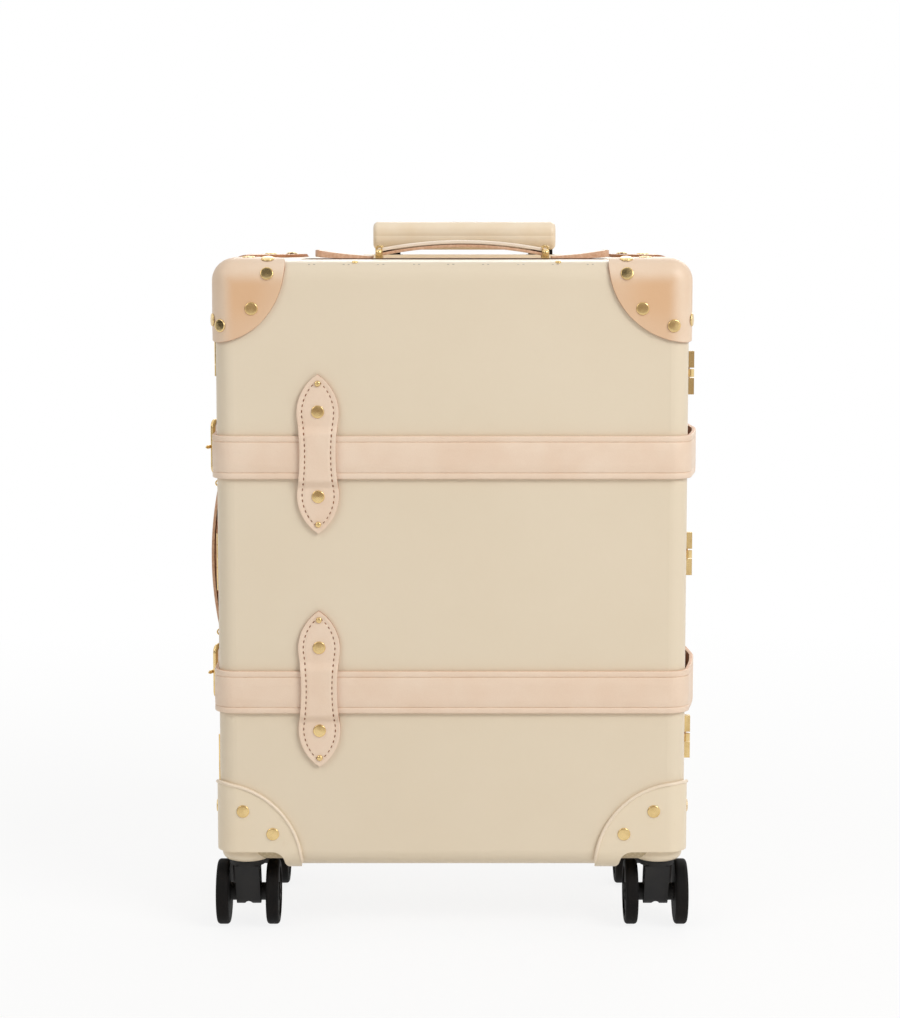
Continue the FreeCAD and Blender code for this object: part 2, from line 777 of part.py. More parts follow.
def strap_tail(name, height):
    """The loose end: from the seam over the buckle's rear bar and back along the strap, round-tipped."""
    half, slot = size.strap_width / 2, size.prong_slot / 2
    start_x = -half_width - size.strap_gap - size.tail_thick / 2
    start_y, end_y = seam + size.strap_cut / 2, seam + size.tail_length
    spots = [
        Vector(start_x, start_y, 0), Vector(start_x, start_y + size.tail_lead, 0),
        Vector(tail_over, bar_y - loop_radius, 0), Vector(tail_over, bar_y + loop_radius, 0),
        Vector(tail_rest, bar_y + 3 * loop_radius, 0), Vector(tail_rest, end_y, 0),
    ]
    solid = ribbon(spots, size.tail_thick).extrude(Z * size.strap_width)
    solid.translate(Z * (height - half))
    outside, inside = 2 * tail_over + half_width, -half_width
    slot_start, slot_end = start_y + 2 * size.tail_lead, bar_y + loop_radius + size.overshoot
    prong_slot = block(Vector(outside, slot_start, height - slot), Vector(inside, slot_end, height + slot))
    tip_start = end_y - half
    tip_corner = Vector(inside, end_y + half, height + half)
    tip = block(Vector(outside, tip_start, height - half), tip_corner)
    rounding = Part.makeCylinder(half, inside - outside, Vector(outside, tip_start, height), X)
    return feature(name, solid.cut(prong_slot).cut(tip.cut(rounding)))


def rear_band(name, height):
    """The rear half of a strap, its left end rolled round the buckle's rear bar."""
    band = strap_band(name + "_whole", 1, height).Shape
    half, slot = size.strap_width / 2, size.prong_slot / 2
    low, high = height - half, height + half
    outside = strap_face - size.overshoot
    unrolled = block(Vector(outside, seam, low), Vector(-half_width, bar_y, high))
    roll = Part.makeCylinder(loop_radius, size.strap_width, Vector(bar_x, bar_y, low))
    hole_radius = bar_radius + size.side_gap
    hole = Part.makeCylinder(hole_radius, size.strap_width, Vector(bar_x, bar_y, low))
    slot_low = Vector(bar_x - 1.5 * loop_radius, bar_y - 2 * loop_radius, height - slot)
    slot_high = Vector(bar_x + 1.5 * loop_radius, bar_y + loop_radius, height + slot)
    rolled = band.cut(unrolled).fuse(roll).cut(hole).cut(block(slot_low, slot_high))
    return feature(name, rolled.removeSplitter())


def strap_keeper(name, height):
    """A leather loop over the tail, standing on the side of the base."""
    near = -half_width - size.seat_gap
    room_far = tail_rest - size.tail_thick / 2 - size.side_gap
    far = room_far - size.keeper_thick
    reach = size.strap_width / 2 + size.side_gap
    start, end = seam + size.keeper_setback, seam + size.keeper_setback + size.keeper_width
    low, high = height - reach - size.keeper_thick, height + reach + size.keeper_thick
    whole = block(Vector(far, start, low), Vector(near, end, high))
    room = block(Vector(room_far, start, height - reach), Vector(near, end, height + reach))
    return feature(name, whole.cut(room))


for level, height in STRAPS.items():
    keep(strap_band(f"{level}_front_band", -1, height), f"strap_front_{level}")
    pieces = [
        rear_band(f"{level}_rear_band", height),
        strap_tail(f"{level}_tail", height),
        strap_keeper(f"{level}_keeper", height),
    ]
    keep(group(f"{level}_rear_strap", *pieces), f"strap_rear_{level}")


# Buckles: a round-wire frame that swings on its rear bar, and a prong on the same bar


def ring_wire(corners, radius):
    """A closed wire that starts half way along its first side, with rounded corners."""
    joins = []
    for i, spot in enumerate(corners):
        back = (corners[i - 1] - spot).normalize()
        ahead = (corners[(i + 1) % len(corners)] - spot).normalize()
        bisector = (back + ahead).normalize()
        centre = spot + bisector * (radius * math.sqrt(2))
        joins.append((spot + back * radius, centre - bisector * radius, spot + ahead * radius))
    start = (joins[0][2] + joins[1][0]) / 2
    edges = [line(start, joins[1][0])]
    for bend, after in zip(joins[1:], joins[2:] + joins[:1]):
        edges += [arc(*bend), line(bend[2], after[0])]
    edges += [arc(*joins[0]), line(joins[0][2], start)]
    return Part.Wire(edges), start


def buckle_frame(name, height):
    """A rectangular ring of round wire, upright on its rear bar and leaning out to its front bar."""
    reach = size.strap_width / 2 + size.buckle_side_gap + bar_radius
    ends = ((bar_x, bar_y, -reach), (bar_x, bar_y, reach))
    ends += ((front_bar_x, front_bar_y, reach), (front_bar_x, front_bar_y, -reach))
    path, start = ring_wire([Vector(x, y, height + z) for x, y, z in ends], size.buckle_bend)
    section = Part.Wire(Part.Circle(start, Z, bar_radius).toShape())
    return feature(name, path.makePipeShell([section], True, False))


def buckle_prong(name, height):
    """A pin with an eye round the rear bar, lying just clear of the front bar, its tip past it."""
    eye_radius = bar_radius + size.prong_clearance
    radius = size.prong_diameter / 2
    middle = Vector(bar_x, bar_y, height)
    between = Vector(front_bar_x, front_bar_y, height) - middle
    spread = math.asin((bar_radius + radius + size.side_gap) / between.Length)
    shank = between.Length + size.prong_overhang - size.prong_diameter
    run = Rotation(Z, -math.degrees(spread)).multVec(between).normalize()
    eye = Part.makeCylinder(eye_radius + size.prong_eye_wall, 2 * radius, middle - Z * radius)
    pin = Part.makeCylinder(radius, shank, middle, run)
    tip = Part.makeCone(radius, radius / 3, size.prong_diameter, middle + run * shank, run)
    hole = Part.makeCylinder(eye_radius, 4 * radius, middle - Z * (2 * radius))
    return feature(name, eye.fuse([pin, tip]).cut(hole).removeSplitter())


for level, height in STRAPS.items():
    keep(buckle_frame(f"{level}_frame", height), f"buckle_frame_{level}")
    keep(buckle_prong(f"{level}_prong", height), f"buckle_prong_{level}")


# Strap pads: pointed leather loops riveted over the straps on the lid and on the back


def pad_outline(x, height):
    """The pad's front view: two points, two full shoulders and a waist."""
    half, side = size.pad_length / 2, size.pad_width / 2
    shoulder, waist = size.pad_shoulder_pitch / 2, size.pad_waist / 2
    chord = math.hypot(side, half - shoulder)
    bulge_x = side / 2 + size.pad_point_fullness * (half - shoulder) / chord
    bulge_z = (half + shoulder) / 2 + size.pad_point_fullness * side / chord

    def spot(u, v):
        return Vector(x + u, 0, height + v)

    edges = []
    for sign in (1, -1):
        for way in (1, -1):
            point, bulge = spot(0, way * half), spot(sign * bulge_x, way * bulge_z)
            edges.append(arc(point, bulge, spot(sign * side, way * shoulder)))
        edges.append(arc(spot(sign * side, shoulder), spot(sign * waist, 0), spot(sign * side, -shoulder)))
    return Part.Face(Part.Wire(Part.__sortEdges__(edges)))


def strap_pad(name, face, strap_height, shift):
    """The pad lies on the trunk at its ends and steps over the strap between them."""
    x, height = size.pad_offset, strap_height + shift
    rise = size.strap_gap + size.strap_thick + size.strap_gap
    half, over = size.pad_length / 2 + shift, size.strap_width / 2 + 2 * size.strap_gap
    foot = over + size.pad_ramp
    lower = [(-half, 0), (-foot, 0), (-over, rise), (over, rise), (foot, 0), (half, 0)]
    upper = [(v, out + size.pad_thick) for v, out in lower]
    base = half_depth + size.seat_gap
    spots = [
        Vector(x - size.pad_width, face * (base + out), strap_height + v) for v, out in lower + upper[::-1]
    ]
    side_view = Part.Face(Part.makePolygon(spots + spots[:1])).extrude(X * (2 * size.pad_width))
    front_view = pad_outline(x, height).extrude(Y * (face * 2 * half_depth))
    return feature(name, side_view.common(front_view))


for level, height in STRAPS.items():
    keep(strap_pad(f"{level}_front_pad", -1, height, size.pad_rise), f"strap_pad_{level}")
rear_pads = [strap_pad(f"{level}_rear_pad", 1, height, 0.0) for level, height in STRAPS.items()]
keep(group("rear_pads", *rear_pads), "rear_strap_pads")


# Rivets: domed brass heads on the caps, housings and pads


HEAD_BANDS = 6


def domed_head(diameter, rise):
    """A head that stands on the XY plane: the top of a ball, in bands so that its mesh stays domed."""
    ball = (diameter * diameter / 4 + rise * rise) / (2 * rise)
    start = math.degrees(math.asin((ball - rise) / ball))
    step = (90 - start) / HEAD_BANDS
    bands = [
        Part.makeSphere(ball, Vector(0, 0, rise - ball), Z, start + i * step, start + (i + 1) * step, 360)
        for i in range(HEAD_BANDS)
    ]
    return bands[0].multiFuse(bands[1:])


RIVET = domed_head(size.rivet_diameter, size.rivet_height)
PIN_RIVET = domed_head(size.pin_rivet_diameter, size.pin_rivet_height)


def seated(head, spot, normal):
    """A copy of a head, standing on spot."""
    copy = head.copy()
    copy.Placement = Placement(spot, Rotation(Z, normal))
    return copy


def corner_spot(axes, signs, across, down, lift):
    """A place on the trunk's skin near a corner, with its outward normal.

    axes names the face's own axis and the two axes along which across and down are measured
    from the corner, seen square on. Near a front or back edge the skin curves away.
    """
    radius = size.edge_radius + lift
    limits = {
        "X": signs["X"] * (half_width + lift),
        "Y": signs["Y"] * (half_depth + lift),
        "Z": top + lift if signs["Z"] > 0 else bottom - lift,
    }
    own = axes[0]
    spot, normal = {own: limits[own]}, {own: signs[own]}
    for axis, inset in zip(axes[1:], (across, down)):
        spot[axis], normal[axis] = limits[axis] - signs[axis] * inset, 0.0
    for axis, inset in zip(axes[1:], (across, down)):
        if "Y" in (own, axis) and inset < radius:
            tilt = math.asin((radius - inset) / radius)
            spot[own] -= signs[own] * radius * (1 - math.cos(tilt))
            normal[own], normal[axis] = signs[own] * math.cos(tilt), signs[axis] * math.sin(tilt)
    return Vector(*(spot[k] for k in "XYZ")), Vector(*(normal[k] for k in "XYZ"))


CAP_RIVETS = {
    "YXZ": ((47.0, 11.5), (35.0, 38.0), (11.0, 51.0)),
    "XYZ": ((31.0, 31.0), (12.0, 47.0)),
    "ZYX": ((31.0, 31.0), (12.0, 47.0)),
}
HOUSING_RIVETS = {
    "YXZ": ((24.0, 47.5), (47.0, 29.5)),
    "XYZ": ((21.5, 47.5), (44.0, 29.5)),
}


def corner_rivets(face):
    """Heads on both caps and both housings of one shell."""
    layouts = ((CAP_RIVETS, 1, size.cap_shift), (HOUSING_RIVETS, -1, size.housing_shift))
    for side in SIDES.values():
        for layout, vertical, shift in layouts:
            signs = {"X": side, "Y": face, "Z": vertical}
            aside = {"X": -side * face * shift}
            for axes, places in layout.items():
                for insets in places:
                    across, down = (inset + aside.get(axis, 0.0) for axis, inset in zip(axes[1:], insets))
                    lift = size.cap_thick + size.seat_gap
                    yield seated(RIVET, *corner_spot(axes, signs, across, down, lift))


def pad_rivets(face, shift):
    """Two large and two small heads on each strap pad of one shell."""
    outward = Vector(0, face, 0)
    y = face * (half_depth + size.pad_thick + 2 * size.seat_gap)
    ramp_foot = size.strap_width / 2 + 2 * size.strap_gap + size.pad_ramp
    reach = ramp_foot + size.pad_rise + size.pad_rivet_gap + size.rivet_diameter / 2
    for height in STRAPS.values():
        for way in (1, -1):
            middle = height + shift
            yield seated(RIVET, Vector(size.pad_offset, y, middle + way * reach), outward)
            tip = middle + way * (size.pad_length / 2 - size.pad_pin_inset)
            yield seated(PIN_RIVET, Vector(size.pad_offset, y, tip), outward)


for where, face, shift in (("lid", -1, size.pad_rise), ("base", 1, 0.0)):
    heads = list(corner_rivets(face)) + list(pad_rivets(face, shift))
    solids = [feature(f"{where}_rivet_{i}", head) for i, head in enumerate(heads, start=1)]
    keep(group(f"{where}_rivet_group", *solids), f"{where}_rivets")


# Carry handles: a bowed leather strap between two ball-ended pins that rise in brass lugs


def handle_shape(span):
    """The handle along X with its pins at height 0, its width along Y."""
    eye, half = size.handle_eye_radius, span / 2
    crown = size.handle_rise - eye
    under = [Vector(-half, 0, -eye), Vector(0, 0, crown), Vector(half, 0, -eye)]
    over = [Vector(-half, 0, eye), Vector(0, 0, crown + size.handle_thick), Vector(half, 0, eye)]
    edges = [arc(*under), arc(*over), line(under[0], over[0]), line(under[2], over[2])]
    shape = Part.Face(Part.Wire(Part.__sortEdges__(edges))).extrude(Y * size.handle_width)
    for end in (-half, half):
        shape = shape.fuse(Part.makeCylinder(eye, size.handle_width, Vector(end, 0, 0), Y))
    for end in (-half, half):
        bore = Part.makeCylinder(size.handle_pin_diameter / 2, size.handle_width, Vector(end, 0, 0), Y)
        shape = shape.cut(bore)
    shape.translate(Y * (-size.handle_width / 2))
    return shape.removeSplitter()


def handle_pin(end):
    """A pin along Y with a ball at each end."""
    reach = size.handle_width / 2 + size.side_gap + size.lug_thick + size.side_gap
    radius, ball = size.handle_pin_diameter / 2, size.handle_ball_diameter / 2
    centre = reach + math.sqrt(ball * ball - radius * radius)
    shape = Part.makeCylinder(radius, 2 * centre, Vector(end, -centre, 0), Y)
    return shape.fuse([Part.makeSphere(ball, Vector(end, sign * centre, 0)) for sign in (1, -1)])


def handle_lug(end):
    """A brass saddle: a foot on the case and two cheeks, each with a slot that the pin rises in."""
    radius = size.handle_pin_diameter / 2 + size.running_clearance
    half_long = radius + size.lug_wall
    half_room = size.handle_width / 2 + size.side_gap
    half_wide = half_room + size.lug_thick
    low, high = -size.handle_pin_height, size.handle_travel + radius + size.lug_wall
    whole = block(Vector(end - half_long, -half_wide, low), Vector(end + half_long, half_wide, high))
    floor = low + size.lug_foot
    room = block(Vector(end - half_long, -half_room, floor), Vector(end + half_long, half_room, high))
    ends = [
        Part.makeCylinder(radius, 2 * half_wide, Vector(end, -half_wide, z), Y)
        for z in (0, size.handle_travel)
    ]
    corners = (Vector(end - radius, -half_wide, 0), Vector(end + radius, half_wide, size.handle_travel))
    return whole.cut(room).cut(block(*corners).fuse(ends))


def handle_set(label, span, place):
    """The handle, its two pins and its two lugs, put in place."""
    ends = (-span / 2, span / 2)
    pins = Part.makeCompound([handle_pin(end) for end in ends])
    lugs = Part.makeCompound([handle_lug(end) for end in ends])
    shapes = {label: handle_shape(span), f"{label}_pins": pins, f"{label}_lugs": lugs}
    for name, shape in shapes.items():
        piece = feature(f"{name}_shape", shape)
        piece.Placement = place
        keep(piece, name)


handle_lift = size.handle_pin_height + size.seat_gap
top_handle_y = seam + size.top_handle_setback
top_place = Vector(size.handle_offset, top_handle_y, top + handle_lift)
handle_set("top_handle", size.handle_span, Placement(top_place, Rotation()))
side_place = Vector(
    -half_width - handle_lift, seam + size.side_handle_setback, middle_height - size.side_handle_drop
)
handle_set("side_handle", size.side_handle_span, Placement(side_place, Rotation(Y, -90)))


def handle_tab(name, sign):
    """A leather tab beside a lug, flat at its inner end and lifted at its outer end."""
    inner = size.handle_offset + sign * (size.handle_span / 2 + size.tab_gap)
    bend, outer = inner + sign * size.tab_flat, inner + sign * size.tab_length
    rest = top + size.seat_gap
    lifted = rest + size.tab_lift
    loop = [
        Vector(inner, 0, rest), Vector(bend, 0, rest), Vector(outer, 0, lifted),
        Vector(outer, 0, lifted + size.tab_thick), Vector(bend, 0, rest + size.tab_thick),
        Vector(inner, 0, rest + size.tab_inner_thick),
    ]
    solid = Part.Face(Part.makePolygon(loop + loop[:1])).extrude(Y * size.tab_width)
    solid.translate(Y * (top_handle_y - size.tab_width / 2))
    return feature(name, solid)


tabs = [handle_tab(f"{side}_tab", sign) for side, sign in SIDES.items()]
keep(group("handle_tabs", *tabs), "top_handle_tabs")


# Pull handle: sleeves in the base, two sliding stages, a grip with a release button

GRIP_FOOT = f"({TOP} + grip_gap)"
GRIP_TOP = f"({GRIP_FOOT} + grip_height)"
tube_pair("trolley_sleeves", "sleeve", SLEEVE_FOOT, TOP)
tube_pair("trolley_middle_tubes", "middle", f"({SLEEVE_FOOT} + stage_step)", f"({TOP} + bezel_thick)")
inner_foot, inner_top = f"({SLEEVE_FOOT} + 2 * stage_step)", f"({GRIP_FOOT} + tube_insert)"
tube_pair("trolley_inner_tubes", "inner", inner_foot, inner_top)

BEZEL_LONG = "(trolley_spacing + sleeve_long + 2 * bezel_margin)"
BEZEL_SHORT = "(sleeve_short + 2 * bezel_side)"
bezel_plate = box(
    "bezel_plate", f"trolley_offset - {BEZEL_LONG} / 2", f"{TROLLEY_Y} - {BEZEL_SHORT} / 2",
    f"{TOP} + seat_gap", BEZEL_LONG, BEZEL_SHORT, "bezel_thick",
)
bezel_rounded = fillet("bezel_rounded", bezel_plate, size.bezel_round, along(Z))
bezel_hole = [f"({tube} + 2 * tube_clearance)" for tube in TUBE_SIZES["middle"]]
bezel_ends = (f"{TOP} - overshoot", f"{TOP} + bezel_thick + overshoot")
bezel_holes = [tube_bar(f"bezel_hole_{side}", side, *bezel_hole, *bezel_ends) for side in SIDES]
keep(cut("bezel_solid", bezel_rounded, *bezel_holes), "trolley_bezel")

FOOT_LONG = "(trolley_spacing + sleeve_long + 2 * foot_margin)"
LINING_TOP = f"({BOTTOM} + wall + lining_gap + lining_thick)"
foot_block = box(
    "foot_block", f"trolley_offset - {FOOT_LONG} / 2", f"{TROLLEY_Y} - sleeve_short",
    f"{LINING_TOP} + seat_gap", FOOT_LONG, "2 * sleeve_short", f"{SLEEVE_FOOT} + stage_step - {LINING_TOP}",
)
foot_rounded = fillet("foot_rounded", foot_block, size.foot_round, along(Z))
foot_sockets = sleeve_holes("foot_socket", "seat_gap", SLEEVE_FOOT, f"{SLEEVE_FOOT} + 2 * stage_step")
keep(cut("foot_solid", foot_rounded, *foot_sockets), "trolley_foot")

trolley_y = half_depth - size.trolley_inset
half_grip = size.trolley_spacing / 2 + size.grip_overhang


def grip_profile():
    """The grip's end view: widest along a crease half way up, rounded above and below it."""
    low = top + size.grip_gap
    high, crease = low + size.grip_height, low + size.grip_height / 2
    half, flat, bulge = size.grip_depth / 2, size.grip_flat / 2, size.grip_shoulder_bulge

    def spot(y, z):
        return Vector(size.trolley_offset - half_grip, trolley_y + y, z)

    edges = [line(spot(-flat, z), spot(flat, z)) for z in (low, high)]
    for sign in (1, -1):
        for z, way in ((low, -1), (high, 1)):
            through = spot(sign * ((half + flat) / 2 + bulge), (crease + z) / 2 + way * bulge)
            edges.append(arc(spot(sign * half, crease), through, spot(sign * flat, z)))
    return Part.Face(Part.Wire(Part.__sortEdges__(edges)))


grip_bar = feature("grip_bar", grip_profile().extrude(X * (2 * half_grip)))
grip_ends = (size.trolley_offset - half_grip, size.trolley_offset + half_grip)
grip_rounded = fillet("grip_rounded", grip_bar, size.grip_end_round, on_plane(X, grip_ends))
socket_ends = (f"{GRIP_FOOT} - overshoot", f"{GRIP_FOOT} + tube_insert")
grip_sockets = [tube_bar(f"grip_socket_{side}", side, *TUBE_SIZES["inner"], *socket_ends) for side in SIDES]


def button_box(name, gap, low, high):
    """The release button's block, or with a gap the pocket that it sinks in."""
    long, wide = f"(button_length + 2 * {gap})", f"(button_width + 2 * {gap})"
    x, y = f"trolley_offset - {long} / 2", f"{TROLLEY_Y} - {wide} / 2"
    return box(name, x, y, low, long, wide, f"({high}) - ({low})")


BUTTON_FOOT = f"({GRIP_TOP} - button_height)"
pocket = button_box("button_pocket", "side_gap", f"{BUTTON_FOOT} - button_travel", f"{GRIP_TOP} + overshoot")
keep(cut("grip_solid", grip_rounded, *grip_sockets, pocket), "trolley_grip")
button = button_box("button_block", "0", BUTTON_FOOT, GRIP_TOP)
keep(fillet("button_solid", button, size.button_round, along(Z)), "trolley_button")


# Latches on the right side: a plate and a swinging lever on the base, a jawed catch on the lid

SIDE_FACE = "(body_width / 2 + seat_gap)"
LEVER_FACE = f"({SIDE_FACE} + latch_plate_thick + side_gap)"
PIVOT_X = f"({LEVER_FACE} + latch_pivot_radius)"
PIVOT_Y = f"({SEAM} + latch_plate_long - latch_pivot_inset)"
JAW_Y = f"({SEAM} - latch_reach - latch_jaw_depth)"


def latch_base(level, low, high):
    """A plate with a pin held between two ears."""
    plate = box(
        f"{level}_latch_plate", SIDE_FACE, f"{SEAM} + latch_seam_gap", low,
        "latch_plate_thick", "latch_plate_long", "latch_height",
    )
    pin = cylinder(f"{level}_latch_pin", "Z", PIVOT_X, PIVOT_Y, low, "latch_pin_radius", "latch_height")
    pieces = [plate, pin]
    for end, start in (("foot", low), ("head", f"{high} - latch_ear")):
        ear = f"{level}_ear_{end}"
        pieces.append(cylinder(ear, "Z", PIVOT_X, PIVOT_Y, start, "latch_pivot_radius", "latch_ear"))
        web_long = "latch_plate_thick + side_gap + latch_pivot_radius"
        web_y = f"{PIVOT_Y} - latch_pivot_radius"
        pieces.append(
            box(f"{ear}_web", SIDE_FACE, web_y, start, web_long, "2 * latch_pivot_radius", "latch_ear")
        )
    return fuse(f"{level}_latch_base", *pieces)


def latch_lever(level, low, height):
    """A flat lever on the pin, with a rolled finger tongue that reaches through the catch's jaws."""
    start, long = f"{low} + latch_ear + side_gap", "latch_height - 2 * latch_ear - 2 * side_gap"
    barrel = cylinder(f"{level}_barrel", "Z", PIVOT_X, PIVOT_Y, start, "latch_pivot_radius", long)
    arm_y = f"{SEAM} - latch_reach + latch_jaw_gap"
    arm = box(
        f"{level}_arm", LEVER_FACE, arm_y, start, "latch_lever_thick", f"{PIVOT_Y} - ({arm_y})", long
    )
    tongue_y, tongue_z = f"{JAW_Y} - latch_tongue_gap", f"{height} - latch_tongue_width / 2"
    tongue = box(
        f"{level}_tongue", LEVER_FACE, tongue_y, tongue_z, "latch_lever_thick",
        "latch_tongue_reach + latch_tongue_gap + latch_jaw_gap", "latch_tongue_width",
    )
    roll = cylinder(
        f"{level}_roll", "Z", f"{LEVER_FACE} + latch_roll_radius", tongue_y, tongue_z,
        "latch_roll_radius", "latch_tongue_width",
    )
    bore_radius = "latch_pin_radius + running_clearance"
    bore = cylinder(f"{level}_bore", "Z", PIVOT_X, PIVOT_Y, low, bore_radius, "latch_height")
    return cut(f"{level}_lever", fuse(f"{level}_lever_body", barrel, arm, tongue, roll), bore)


def latch_catch(level, low, height):
    """A plate with two tall jaws that the lever's tongue passes between."""
    plate = box(
        f"{level}_catch_plate", SIDE_FACE, f"{SEAM} - latch_plate_long", low,
        "latch_plate_thick", "latch_plate_long - latch_seam_gap", "latch_height",
    )
    clear = "(latch_tongue_width / 2 + latch_tongue_gap)"
    jaws = [
        box(
            f"{level}_jaw_{end}", SIDE_FACE, JAW_Y, start, "latch_jaw_height", "latch_jaw_depth",
            f"latch_height / 2 - {clear}",
        )
        for end, start in (("foot", low), ("head", f"{height} + {clear}"))
    ]
    return fuse(f"{level}_catch", plate, *jaws)


plates, catches = [], []
for level in ("upper", "middle", "lower"):
    height = f"({MIDDLE_HEIGHT} + latch_{level}_offset)"
    low, high = f"{height} - latch_height / 2", f"{height} + latch_height / 2"
    plates.append(latch_base(level, low, high))
    catches.append(latch_catch(level, low, height))
    keep(latch_lever(level, low, height), f"latch_lever_{level}")
keep(group("latch_plate_group", *plates), "latch_plates")
keep(group("latch_catch_group", *catches), "latch_catches")


# Hinges on the left side: two leaves with interleaved barrels on one pin

HINGES = {
    "lower": f"({BOTTOM} + hinge_lower_rise)",
    "middle": f"({MIDDLE_HEIGHT} - hinge_middle_drop)",
    "upper": f"({TOP} - hinge_upper_drop)",
}
HINGE_X = "(-body_width / 2 - hinge_offset)"
KNUCKLES = 5
KNUCKLE_HEIGHT = f"hinge_height / {KNUCKLES}"


def hinge_leaf(name, height, sign, knuckles):
    """A leaf on the lid (sign -1) or the base (sign 1), with some of the knuckles."""
    low = f"{height} - hinge_height / 2"
    near = "(hinge_barrel_radius + side_gap)"
    leaf_y = f"{SEAM} + {near}" if sign > 0 else f"{SEAM} - {near} - hinge_leaf_long"
    leaf_x = "-body_width / 2 - seat_gap - hinge_leaf_thick"
    pieces = [
        box(f"{name}_plate", leaf_x, leaf_y, low, "hinge_leaf_thick", "hinge_leaf_long", "hinge_height")
    ]
    web_deep = f"({near} + hinge_leaf_thick)"
    web_y = SEAM if sign > 0 else f"{SEAM} - {web_deep}"
    for knuckle in knuckles:
        foot = f"{low} + {knuckle} * {KNUCKLE_HEIGHT} + side_gap / 2"
        long = f"{KNUCKLE_HEIGHT} - side_gap"
        barrel = f"{name}_barrel_{knuckle}"
        pieces.append(cylinder(barrel, "Z", HINGE_X, SEAM, foot, "hinge_barrel_radius", long))
        web_long = "hinge_offset - seat_gap"
        pieces.append(box(f"{barrel}_web", HINGE_X, web_y, foot, web_long, web_deep, long))
    bore_radius = "hinge_pin_radius + running_clearance"
    bore = cylinder(f"{name}_bore", "Z", HINGE_X, SEAM, low, bore_radius, "hinge_height")
    return cut(name, fuse(f"{name}_whole", *pieces), bore)


lid_leaves, base_leaves, hinge_pins = [], [], []
for level, height in HINGES.items():
    lid_leaves.append(hinge_leaf(f"lid_leaf_{level}", height, -1, range(0, KNUCKLES, 2)))
    base_leaves.append(hinge_leaf(f"base_leaf_{level}", height, 1, range(1, KNUCKLES, 2)))
    low = f"{height} - hinge_height / 2"
    hinge_pins.append(
        cylinder(f"{level}_hinge_pin", "Z", HINGE_X, SEAM, low, "hinge_pin_radius", "hinge_height")
    )
keep(group("lid_leaf_group", *lid_leaves), "hinge_lid_leaves")
keep(group("base_leaf_group", *base_leaves), "hinge_base_leaves")
keep(group("hinge_pin_group", *hinge_pins), "hinge_pins")


# Check every object, then write each sub-part

doc.recompute()
faults = [made.Name for made in doc.Objects if "Invalid" in made.State or "Error" in made.State]
for piece in subparts:
    if piece.Shape.isNull() or not piece.Shape.isValid() or not piece.Shape.Solids:
        faults.append(piece.Label)
if faults:
    raise RuntimeError(f"these objects failed: {faults}")

os.makedirs("parts", exist_ok=True)
for piece in subparts:
    piece.Shape.exportStep(os.path.join("parts", piece.Label + ".step"))
    print(f"{piece.Label:28s} solids {len(piece.Shape.Solids):3d} volume {piece.Shape.Volume:12.1f}")
print(len(subparts), "sub-parts written")
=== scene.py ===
# %% [markdown]
# # A carry-on suitcase in cream fibreboard, tan leather and brass
# The case is a hard trunk on four twin casters. Its lid faces the camera. This lesson takes the
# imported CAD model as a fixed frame, gives each hard piece a finish that follows its real material,
# and models the leather, the stitching and the cloth lining afresh, because those are what a
# machinist's solid can't show.

# %% Load the frame
import bpy
import bmesh
import math
from mathutils import Matrix, Vector, noise


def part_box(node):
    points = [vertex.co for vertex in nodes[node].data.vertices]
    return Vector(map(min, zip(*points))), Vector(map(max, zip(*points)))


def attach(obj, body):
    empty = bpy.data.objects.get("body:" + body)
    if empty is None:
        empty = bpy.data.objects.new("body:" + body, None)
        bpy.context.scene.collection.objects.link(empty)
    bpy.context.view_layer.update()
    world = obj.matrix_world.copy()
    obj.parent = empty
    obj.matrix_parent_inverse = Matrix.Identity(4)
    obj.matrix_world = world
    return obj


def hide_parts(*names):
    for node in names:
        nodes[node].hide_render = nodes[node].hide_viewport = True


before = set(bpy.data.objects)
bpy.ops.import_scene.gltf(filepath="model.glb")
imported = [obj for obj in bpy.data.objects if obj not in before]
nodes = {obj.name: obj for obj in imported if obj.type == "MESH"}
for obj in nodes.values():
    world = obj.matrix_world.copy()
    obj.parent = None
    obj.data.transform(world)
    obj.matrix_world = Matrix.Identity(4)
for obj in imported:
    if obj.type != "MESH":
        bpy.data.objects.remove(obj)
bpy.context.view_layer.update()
MM = 0.001

# %% [markdown]
# ## The trunk's own sizes
# Most pieces hang on the trunk's rounded box, so its faces are read from the frame once. The lid's
# shell gives the front face, the base's shell gives the back, and the seam lies where they meet.

# %% Read the trunk from the frame
lid_low, lid_high = (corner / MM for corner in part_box("lid_shell"))
base_low, base_high = (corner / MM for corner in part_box("base_shell"))
HALF_WIDTH = lid_high.x
FRONT, BACK = lid_low.y, base_high.y
TOP, BOTTOM = lid_high.z, lid_low.z
SEAM = (lid_high.y + base_low.y) / 2
EDGE_RADIUS = 14.5
CORNER_RADIUS = 15.0
trunk = [round(2 * HALF_WIDTH), round(BACK - FRONT), round(TOP - BOTTOM)]
print("trunk in mm:", trunk, "with the seam at", SEAM)

# %% [markdown]
# ## The camera
# The photograph is taken from straight ahead and a little above, with a long lens: the trunk's sides
# draw together by about two percent towards the floor. The focal length in pixels and the tilt are
# the two facts that a camera needs here, and the rest is where it stands.

# %% Set the camera
IMAGE_HEIGHT = 1018
FOCAL_PIXELS = 2518
SENSOR = 36.0
TILT_DOWN = 6.84
STAND = Vector((-1.7, -2009.7, 564.9))
SIGHT_END = 60

bpy.ops.object.camera_add(location=STAND * MM, rotation=(math.radians(90 - TILT_DOWN), 0, 0))
camera = bpy.context.object
camera.data.sensor_width = SENSOR
camera.data.lens = FOCAL_PIXELS * SENSOR / IMAGE_HEIGHT
camera.data.clip_end = SIGHT_END
bpy.context.scene.camera = camera
print("lens", round(camera.data.lens, 1), "mm")

